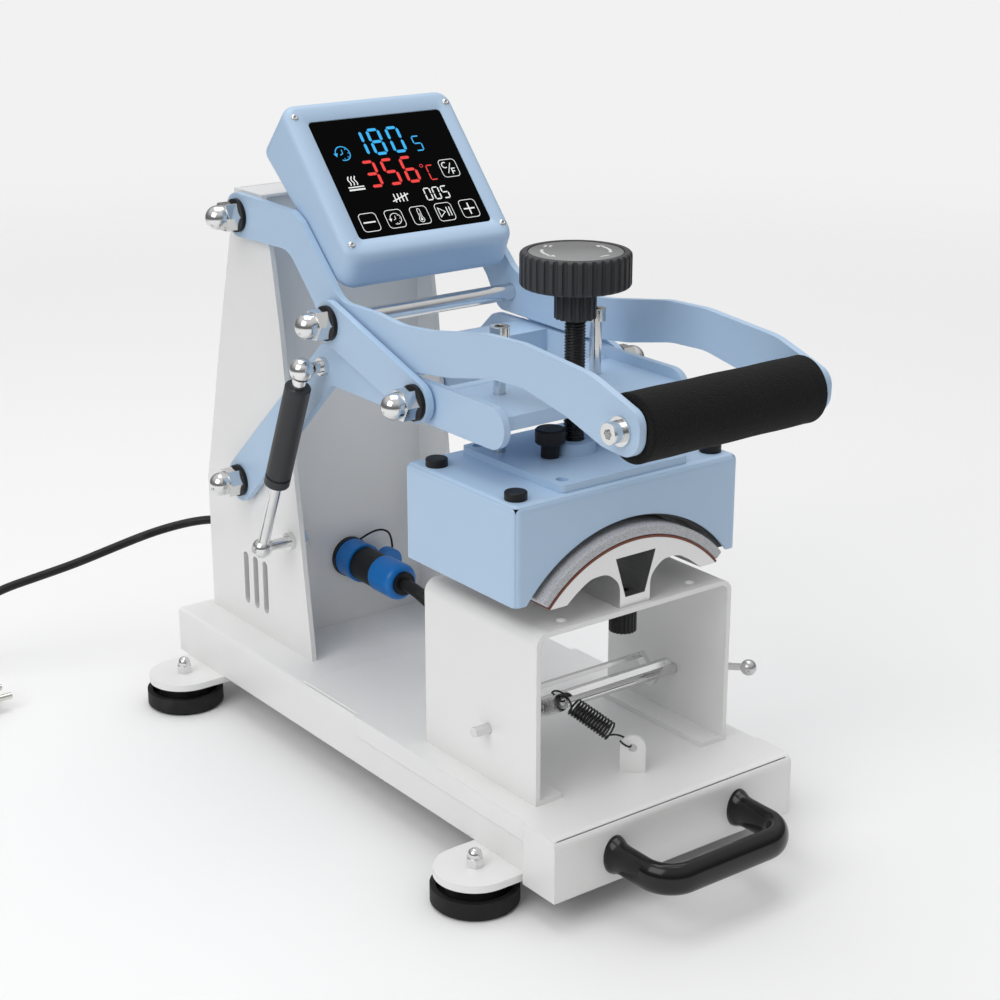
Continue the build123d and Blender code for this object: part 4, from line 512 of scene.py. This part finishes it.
def pad_grid(ends=6, along=16):
    """Closed arched pad: rings of a rounded rectangle, long along the arch, bent by
    x = r sin(s / mid), z = centre + r cos(s / mid). The rings shrink by edge * (1 - sin t) over
    edge * (1 - cos t) of depth at both ends, then to a line that closes each end."""
    mid, edge = (PAD_IN + PAD_OUT) / 2, 1.4 * MM
    reach = PAD_LEAN * mid
    t = np.linspace(0, math.pi / 2, ends)
    insets = np.concatenate([[(PAD_OUT - PAD_IN) / 2 - 1e-5], edge * (1 - np.sin(t))])
    depths = np.concatenate([[0.0], edge * (1 - np.cos(t))])
    steps = [(depth, inset) for depth, inset in zip(depths, insets)]
    whole = pad_high.y - pad_low.y
    steps += [(whole * k / along, 0.0) for k in range(1, along)]
    steps += [(whole - depth, inset) for depth, inset in zip(depths[::-1], insets[::-1])]
    rows = []
    for depth, inset in steps:
        r = max(edge - inset, 0.02 * MM) if inset < edge else 1e-6
        ring = rounded_ring(-reach + inset, reach - inset, PAD_IN + inset, PAD_OUT - inset, r, 48)
        crown = 0.35 * MM * np.sin(math.pi * depth / whole) * (ring[:, 1] - PAD_IN) / (PAD_OUT - PAD_IN)
        height = ring[:, 1] + crown
        lean = ring[:, 0] / mid
        rows.append(np.column_stack([height * np.sin(lean), np.full(len(ring), pad_low.y + depth),
                                     PAD_CENTRE + height * np.cos(lean)]))
    return np.stack(rows)


pad = show("press_pad", grid_mesh("press_pad", pad_grid(), wrap_columns=True), FINISHES["foam"])
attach(pad, "drawer")
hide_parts("foam_pad")


# ---------------------------------------------------------------- threads
def threaded(name, x, y, z0, z1, radius, pitch, depth, finish, body, slot, steps=8, sides=40):
    """Screw thread on an upright rod: the radius falls by depth * |2 frac(z / pitch - a / 2 pi) - 1|,
    so the crest climbs one pitch a turn. The ends are closed by a chamfer to the axis."""
    rows = int((z1 - z0) / pitch * steps)
    z = np.linspace(z0, z1, rows)[:, None]
    a = np.linspace(0, 2 * math.pi, sides, endpoint=False)[None, :]
    ramp = np.mod(z / pitch - a / (2 * math.pi), 1.0)
    r = radius - depth * np.abs(2 * ramp - 1) ** 0.8
    run_out = np.clip(np.minimum(z - z0, z1 - z) / (0.6 * pitch), 0, 1)
    r = r * (0.8 + 0.2 * run_out)
    r[0], r[-1] = 0.0, 0.0
    points = np.stack([x + r * np.cos(a), y + r * np.sin(a), z + 0 * a], axis=-1)
    piece = show(name, grid_mesh(name, points, wrap_columns=True), finish)
    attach(piece, body)
    return piece


low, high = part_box("pressure_screw")
screw_at = ((low.x + high.x) / 2, (low.y + high.y) / 2)
main_screw = threaded("screw_thread", *screw_at, low.z, high.z, (high.x - low.x) / 2 - 0.02 * MM, 2.0 * MM, 1.1 * MM,
                      FINISHES["black_steel"], "pressure", "black_steel")
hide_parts("pressure_screw")


# ---------------------------------------------------------------- flat marks
def stroke(path, width, closed=False):
    """Quads of a line of even width: each point moves width / 2 to both sides along its mitre."""
    path = np.asarray(path, float)
    if closed:
        before, after = np.roll(path, 1, 0), np.roll(path, -1, 0)
    else:
        before = np.vstack([2 * path[0] - path[1], path[:-1]])
        after = np.vstack([path[1:], 2 * path[-1] - path[-2]])
    d0, d1 = path - before, after - path
    d0 /= np.linalg.norm(d0, axis=1, keepdims=True)
    d1 /= np.linalg.norm(d1, axis=1, keepdims=True)
    n0, n1 = d0[:, ::-1] * [-1, 1], d1[:, ::-1] * [-1, 1]
    mitre = (n0 + n1) / np.maximum(1 + (n0 * n1).sum(1, keepdims=True), 0.4)
    left, right = path + mitre * width / 2, path - mitre * width / 2
    i = np.arange(len(path) if closed else len(path) - 1)
    j = (i + 1) % len(path)
    return list(np.stack([right[i], right[j], left[j], left[i]], axis=1))


def ring_of(cx, cy, r, start=0.0, stop=360.0, steps=28):
    a = np.radians(np.linspace(start, stop, steps))
    return np.column_stack([cx + r * np.cos(a), cy + r * np.sin(a)])


def box_of(cx, cy, w, h, r, steps=5):
    """Outline of a rectangle with round corners."""
    a = np.radians(np.linspace(0, 90, steps))
    quarter = np.column_stack([np.cos(a), np.sin(a)]) * r
    turns_of = [(1, 1, quarter), (-1, 1, quarter[::-1] * [-1, 1]), (-1, -1, -quarter), (1, -1, quarter[::-1] * [1, -1])]
    return np.vstack([q + [cx + sx * (w / 2 - r), cy + sy * (h / 2 - r)] for sx, sy, q in turns_of])


SEGMENT_ENDS = {
    "a": ((0, 2), (1, 2)), "b": ((1, 2), (1, 1)), "c": ((1, 1), (1, 0)), "d": ((0, 0), (1, 0)),
    "e": ((0, 1), (0, 0)), "f": ((0, 2), (0, 1)), "g": ((0, 1), (1, 1)),
}
SEGMENTS_OF = {"0": "abcdef", "1": "bc", "3": "abcdg", "5": "acdfg", "6": "acdefg", "8": "abcdefg", "C": "adef"}


def segments(text, u, v, wide, high_, step, line):
    """Seven-segment figures: each segment is a bar with 45 degree points between two corners of its cell."""
    shapes = []
    for k, letter in enumerate(text):
        for s in SEGMENTS_OF[letter]:
            ends = np.array(SEGMENT_ENDS[s], float) * [wide - line, (high_ - line) / 2]
            p, q = ends + [u + k * step + line / 2, v + line / 2]
            way = (q - p) / np.linalg.norm(q - p)
            side = way[::-1] * [-1, 1] * line / 2
            gap = way * line * 0.22
            p, q, tip = p + gap, q - gap, way * line / 2
            shapes.append(np.array([p, p + tip - side, q - tip - side, q, q - tip + side, p + tip + side]))
    return shapes


def marks(name, shapes, origin, across, up, lift, finish, body):
    """Flat marks on a face: (u, v) in millimetres becomes origin + across * u + up * v, lifted off the face."""
    across, up = np.asarray(across, float), np.asarray(up, float)
    out = np.cross(across, up)
    flat = np.vstack(shapes) * MM
    points = np.asarray(origin, float) + flat[:, :1] * across + flat[:, 1:] * up + out * lift
    ends = np.cumsum([len(s) for s in shapes])
    faces = [list(range(e - len(s), e)) for e, s in zip(ends, shapes)]
    mesh = bpy.data.meshes.new(name)
    mesh.from_pydata(points.tolist(), [], faces)
    work = bmesh.new()
    work.from_mesh(mesh)
    for face in work.faces:
        if face.normal.dot(out.tolist()) < 0:
            face.normal_flip()
    work.to_mesh(mesh)
    work.free()
    piece = show(name, mesh, finish)
    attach(piece, body)
    return piece


FACE_TOP = np.array([0.0, 132.6, 467.2]) * MM
FACE_LOW = np.array([0.0, 48.7, 372.6]) * MM
FACE_UP = (FACE_TOP - FACE_LOW) / np.linalg.norm(FACE_TOP - FACE_LOW)
FACE_MID = (FACE_TOP + FACE_LOW) / 2
GLASS_LIFT = 0.06 * MM
BUTTONS_U = (-42.1, -21.2, -0.3, 20.6, 41.4)
BUTTON_V = -36.3


def clock_marks(cx, cy, r, line):
    """Dial that is open at the lower left, with an arrow on its end, two hands and four hour marks."""
    shapes = stroke(ring_of(cx, cy, r, -115, 175), line)
    shapes.append(np.array([[cx - r * 1.32, cy + 0.1 * r], [cx - r * 0.7, cy + 0.1 * r], [cx - r * 1.0, cy - 0.45 * r]]))
    shapes += stroke([(cx, cy + r * 0.55), (cx, cy), (cx - r * 0.42, cy - r * 0.2)], line * 0.9)
    for turn in (0, 45, 90, 315):
        a = math.radians(turn - 45)
        way = np.array([math.cos(a), math.sin(a)])
        shapes += stroke([way * r * 0.68 + [cx, cy], way * r * 0.86 + [cx, cy]], line * 0.8)
    return shapes


def wave(u, v, tall, swing):
    s = np.linspace(0, 1, 14)
    return np.column_stack([u + swing * np.sin(2 * math.pi * s * 1.2), v + tall * s])


blue_marks = segments("1", -28.6, 14.4, 11.3, 21.8, 0, 2.3) + segments("80", -13.5, 14.4, 11.3, 21.8, 15.9, 2.3)
blue_marks += segments("5", 20.7, 13.9, 6.9, 12.7, 0, 1.0) + clock_marks(-38.8, 19.0, 5.6, 0.75)
red_marks = segments("356", -28.8, -10.5, 11.3, 21.8, 15.7, 2.3) + segments("C", 21.6, -10.4, 6.2, 12.5, 0, 0.9)
red_marks += stroke(ring_of(18.5, 2.0, 1.2, 0, 345, 14), 0.45, True)
white_marks = segments("005", 10.9, -26.0, 5.7, 10.4, 7.2, 0.95)
white_marks += [m for dx in (0.0, 2.6, 5.2) for m in stroke(wave(-43.6 + dx, -6.6, 7.2, 0.6), 0.85)]
white_marks += stroke([(-46.4, -8.1), (-33.6, -8.1)], 0.9) + stroke([(-46.4, -10.2), (-33.6, -10.2)], 1.3)
white_marks += [m for k in range(4) for m in stroke([(-14.0 + 3.0 * k, -24.0), (-14.0 + 3.0 * k, -17.2)], 0.9)]
white_marks += stroke([(-16.6, -22.9), (-2.2, -18.3)], 0.9)
white_marks += stroke(box_of(40.4, -2.5, 14.2, 14.2, 2.8), 0.5, True)
white_marks += stroke(ring_of(37.6, 0.2, 2.2, 55, 305, 14), 0.8) + stroke([(38.2, -6.6), (42.8, 1.6)], 0.6)
white_marks += stroke([(42.0, -7.6), (42.0, -3.0), (45.0, -3.0)], 0.8) + stroke([(42.0, -5.3), (44.4, -5.3)], 0.8)
for button_u in BUTTONS_U:
    white_marks += stroke(box_of(button_u, BUTTON_V, 13.9, 14.2, 2.8), 0.5, True)
white_marks += stroke([(-47.0, BUTTON_V), (-37.2, BUTTON_V)], 1.1)
white_marks += stroke([(36.8, BUTTON_V), (46.0, BUTTON_V)], 1.1) + stroke([(41.4, BUTTON_V - 4.6), (41.4, BUTTON_V + 4.6)], 1.1)
white_marks += clock_marks(-20.7, BUTTON_V, 4.3, 0.5)
white_marks += stroke(np.vstack([ring_of(-0.3, BUTTON_V + 4.2, 1.1, 0, 180, 10), ring_of(-0.3, BUTTON_V - 3.2, 2.1, 122, 418, 22)]), 0.5, True)
white_marks += [ring_of(-0.3, BUTTON_V - 3.2, 1.0, 0, 340, 16)] + stroke([(-0.3, BUTTON_V - 3), (-0.3, BUTTON_V + 1.6)], 0.45)
white_marks += stroke([(15.9, BUTTON_V + 3.6), (15.9, BUTTON_V - 3.6), (20.8, BUTTON_V)], 0.6, True)
white_marks += stroke([(22.8, BUTTON_V + 3.6), (22.8, BUTTON_V - 3.6)], 0.8) + stroke([(25.2, BUTTON_V + 3.6), (25.2, BUTTON_V - 3.6)], 0.8)
for name, shapes, colour, glow in (
    ("screen_time", blue_marks, (0.02, 0.42, 0.86), 1.0), ("screen_heat", red_marks, (0.85, 0.035, 0.03), 1.0),
    ("screen_signs", white_marks, (0.86, 0.87, 0.88), 0.95),
):
    marks(name, shapes, FACE_MID, (1, 0, 0), FACE_UP, GLASS_LIFT, lit(name, colour, glow), "lever")

# ---------------------------------------------------------------- shell of the display
def shell_grid():
    """Closed case: rings of rounded rectangles from the floor of the glass pocket up and over the face,
    down the sides and over the back. A point at share t of the depth lies mix(face, back, t) up the face and
    t * (low depth + (top depth - low depth) * height share) behind it."""
    half, low_v, high_v = 70.0, -63.2, 63.2
    back_low, back_high = -72.35, 58.29
    deep_low, deep_high = 25.87, 45.68
    corner, edge = 11.5, 6.0
    pocket = (-55.2, 55.2, -48.2, 46.2)
    rings = [(rounded_ring(-1, 1, -2, 0, 0.5), 2.15, True), (rounded_ring(*pocket, 3.2), 2.15, True),
             (rounded_ring(*pocket, 3.2), 0.35, True),
             (rounded_ring(pocket[0] - 0.35, pocket[1] + 0.35, pocket[2] - 0.35, pocket[3] + 0.35, 3.5), 0.0, True)]
    for t in np.linspace(0, math.pi / 2, 9):
        inset = edge * (1 - math.sin(t))
        ring = rounded_ring(-half + inset, half - inset, low_v + inset, high_v - inset, corner - inset)
        rings.append((ring, edge * (1 - math.cos(t)), True))
    for share in np.linspace(0, 1, 7)[1:]:
        rings.append((rounded_ring(-half, half, low_v, high_v, corner), share, False))
    for t in np.linspace(0, math.pi / 2, 7)[1:]:
        inset = edge * (1 - math.cos(t))
        rings.append((rounded_ring(-half + inset, half - inset, low_v + inset, high_v - inset, corner - inset),
                      1 + (edge * math.sin(t)) / 1000.0, False))
    rings.append((rounded_ring(-1, 1, -1, 1, 0.5), 1.004, False))
    rows = []
    for ring, depth, plain in rings:
        u, v = ring[:, 0], ring[:, 1]
        up = (v - low_v) / (high_v - low_v)
        deep = deep_low + (deep_high - deep_low) * up
        if plain:
            share = depth / deep
            behind = np.full(len(u), depth)
        else:
            start = edge / deep
            share = start + (min(depth, 1.0) - 0) * (1 - start) if depth <= 1 else np.ones(len(u))
            roll = (depth - 1) * 1000.0 if depth > 1 else 0.0
            behind = deep * share - edge + roll if depth > 1 else deep * share - edge * depth
        v = v + share * ((back_low - low_v) * (1 - up) + (back_high - high_v) * up)
        rows.append(FACE_MID + (u[:, None] * np.array([1.0, 0, 0]) + v[:, None] * FACE_UP - behind[:, None] * FACE_OUT) * MM)
    return np.stack(rows)


FACE_OUT = np.cross((1.0, 0.0, 0.0), FACE_UP)
case_mesh = grid_mesh("display_case", shell_grid(), wrap_columns=True)
case = show("display_case", case_mesh, FINISHES["blue_housing"])
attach(case, "lever")
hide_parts("display_housing")


# ---------------------------------------------------------------- bow handle
def handle_grid(steps=14):
    """Oval bar swept along a bow: from each foot straight out, a quarter turn, along the front and back. Its
    half axes grow by 1 + 0.26 e^(-(d / 5 mm)^2) at distance d from the apron, which flares the feet."""
    low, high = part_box("bow_handle")
    foot_x = (high.x - low.x) / 2 - 8.6 * MM
    front = low.y + 7.4 * MM
    bend = 19.0 * MM
    quarter = np.linspace(0, math.pi / 2, 15)
    right = [(foot_x, y) for y in np.linspace(high.y, front + bend, steps)]
    right += [(foot_x - bend + bend * math.cos(a), front + bend - bend * math.sin(a)) for a in quarter[1:]]
    right = np.array(right)
    middle = np.array([(x, front) for x in np.linspace(foot_x - bend, bend - foot_x, 12)[1:-1]])
    way = np.vstack([right, middle, right[::-1] * [-1, 1]])
    path = np.column_stack([way, np.full(len(way), (low.z + high.z) / 2)])
    run = np.gradient(path, axis=0)
    run /= np.linalg.norm(run, axis=1, keepdims=True)
    side = np.cross(run, (0.0, 0.0, 1.0))
    flare = 1 + 0.26 * np.exp(-((high.y - path[:, 1]) / (5.0 * MM)) ** 2)
    a = np.linspace(0, 2 * math.pi, 40, endpoint=False)[None, :, None]
    thick, tall = 7.4 * MM * flare[:, None, None], 10.6 * MM * flare[:, None, None]
    rings = path[:, None, :] + side[:, None, :] * thick * np.cos(a) + np.array([0, 0, 1.0]) * tall * np.sin(a)
    middle_of = path[:, None, :] + 0 * rings
    return np.concatenate([middle_of[:1], rings, middle_of[-1:]])


bow = show("bow_grip", grid_mesh("bow_grip", handle_grid(), wrap_columns=True), FINISHES["handle_black"])
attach(bow, "drawer")
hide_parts("bow_handle")

# ---------------------------------------------------------------- disc in the knob
low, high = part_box("pressure_knob")
KNOB_TOP = high.z
knob_at = ((low.x + high.x) / 2, (low.y + high.y) / 2)
DISC_R = 30.1 * MM
disc_profile = np.array([[0.0, -0.001], [DISC_R, -0.001], [DISC_R, -0.0003], [DISC_R - 0.0005, 0.0], [0.0, 0.0]])
disc_profile[:, 1] += KNOB_TOP - 0.25 * MM
disc = show("knob_disc", grid_mesh("knob_disc", turned(disc_profile, "Z", (*knob_at, 0.0), 128), wrap_rows=True),
            moulded("disc_plastic", (0.27, 0.272, 0.276), 0.3, 0.00002, Specular_IOR_Level=1.0))
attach(disc, "pressure")
knob_marks = []
for turn in (-48, 132):
    knob_marks += stroke(ring_of(0, 0, 21.5, turn, turn + 52), 2.0)
    tip, back = np.radians(turn + 64), np.radians(turn + 50)
    knob_marks.append(np.array([
        21.5 * np.array([np.cos(tip), np.sin(tip)]), 18.4 * np.array([np.cos(back), np.sin(back)]),
        24.6 * np.array([np.cos(back), np.sin(back)])]))
knob_marks += stroke([(1.5, -22.0), (8.5, -22.0)], 1.8)
knob_marks += stroke([(-8.5, 22.0), (-1.5, 22.0)], 1.8) + stroke([(-5.0, 18.5), (-5.0, 25.5)], 1.8)
marks("knob_signs", knob_marks, (*knob_at, KNOB_TOP - 0.25 * MM), (1, 0, 0), (0, 1, 0), 0.05 * MM,
      moulded("white_print", (0.75, 0.75, 0.75), 0.5, 0.000004), "pressure")


# ---------------------------------------------------------------- small screws on the case
def button_screw(name, centre, out, across, r, finish, body):
    """Low domed screw head, its dome r * (cos s, 0.45 sin s), with a six-sided socket whose wall lies at
    0.42 r / cos(a folded into a sixth of a turn)."""
    out, across = np.asarray(out, float), np.asarray(across, float)
    up = np.cross(out, across)
    a = np.linspace(0, 2 * math.pi, 48, endpoint=False)[:, None]
    fold = np.mod(a, math.pi / 3) - math.pi / 6
    six = 0.42 * r / np.cos(fold)
    s = np.linspace(0, 1, 9)[None, :]
    dome_r = r + (six - r) * s
    dome_h = 0.45 * r * np.sqrt(np.maximum(1 - (dome_r / r) ** 2 * 0.999, 0))
    wall_r = np.hstack([np.full_like(a, r), dome_r, six, np.zeros_like(a)])
    wall_h = np.hstack([np.full_like(a, -0.1 * MM), dome_h, dome_h[:, -1:] - 0.4 * r, dome_h[:, -1:] - 0.5 * r])
    points = np.asarray(centre, float) + (
        across * (wall_r * np.cos(a))[..., None] + up * (wall_r * np.sin(a))[..., None] + out * wall_h[..., None])
    piece = show(name, grid_mesh(name, points, wrap_rows=True), finish)
    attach(piece, body)
    return piece


for k, (u, v) in enumerate(((-63.2, 51.2), (63.2, 51.2), (63.2, -51.2), (-63.2, -51.2))):
    at = FACE_MID + np.array([1.0, 0, 0]) * u * MM + FACE_UP * v * MM
    button_screw(f"face_screw_{k}", at, FACE_OUT, (1, 0, 0), 2.7 * MM, FINISHES["bright_steel"], "lever")

# ---------------------------------------------------------------- floor and light
floor_mesh = bpy.data.meshes.new("studio_floor")
a = np.linspace(0, 2 * math.pi, 96, endpoint=False)
FLOOR_R = 4.0
floor_mesh.from_pydata(np.column_stack([FLOOR_R * np.cos(a), FLOOR_R * np.sin(a), np.zeros(96)]).tolist(), [], [list(range(96))])
floor_finish = Recipe("floor_paper", (0.95, 0.95, 0.95), 0.8, Specular_IOR_Level=0.1)
floor_finish.set("Base Color", floor_finish.mix(floor_finish.noise(1.5, 2.0), (0.945, 0.945, 0.945), (0.955, 0.955, 0.955)))
from_middle = (floor_finish.axis("X") * floor_finish.axis("X") + floor_finish.axis("Y") * floor_finish.axis("Y")) ** 0.5
floor_finish.set("Alpha", 1.0 - from_middle.fade(0.9, 2.6))
floor_mesh.materials.append(floor_finish.material)
floor = bpy.data.objects.new("studio_floor", floor_mesh)
bpy.context.scene.collection.objects.link(floor)


def soft_box(name, place, aim, size, power):
    lamp = bpy.data.lights.new(name, "AREA")
    lamp.shape, lamp.size, lamp.energy = "SQUARE", size, power
    holder = bpy.data.objects.new(name, lamp)
    holder.location = place
    way = np.asarray(aim, float) - np.asarray(place, float)
    holder.rotation_euler = (math.atan2(math.hypot(way[0], way[1]), -way[2]), 0, math.atan2(way[0], -way[1]) + math.pi)
    bpy.context.scene.collection.objects.link(holder)


soft_box("key_box", (-2.2, -0.5, 1.9), (0, 0, 0.15), 1.9, 23.0)
soft_box("top_box", (0.3, 0.5, 3.0), (0, 0, 0.2), 2.2, 28.0)
world = bpy.data.worlds.new("studio")
bpy.context.scene.world = world
world.use_nodes = True
sky = world.node_tree
sky.nodes.clear()


def sky_node(kind, sockets=None, **settings):
    made = sky.nodes.new(kind)
    for key, value in settings.items():
        setattr(made, key, value)
    for key, value in (sockets or {}).items():
        if isinstance(value, bpy.types.NodeSocket):
            sky.links.new(value, made.inputs[key])
        else:
            made.inputs[key].default_value = value
    return made.outputs


# Light from the room: dim walls near the horizon, a bright ceiling, plain paper where the camera looks past the floor.
toward = sky_node("ShaderNodeSeparateXYZ", {0: sky_node("ShaderNodeTexCoord")["Generated"]})
ceiling = sky_node("ShaderNodeMapRange", {0: toward["Z"], 1: 0.05, 2: 0.75, 3: 0.17, 4: 0.70}, interpolation_type="SMOOTHSTEP")
fill = sky_node("ShaderNodeBackground", {0: (1.0, 1.0, 1.0, 1.0), 1: ceiling[0]})
plain = sky_node("ShaderNodeBackground", {0: (0.885, 0.885, 0.885, 1.0), 1: 1.0})
choose = sky_node("ShaderNodeMixShader", {0: sky_node("ShaderNodeLightPath")["Is Camera Ray"], 1: fill[0], 2: plain[0]})
sky_node("ShaderNodeOutputWorld", {0: choose[0]})
bpy.context.scene.view_settings.view_transform = "Standard"
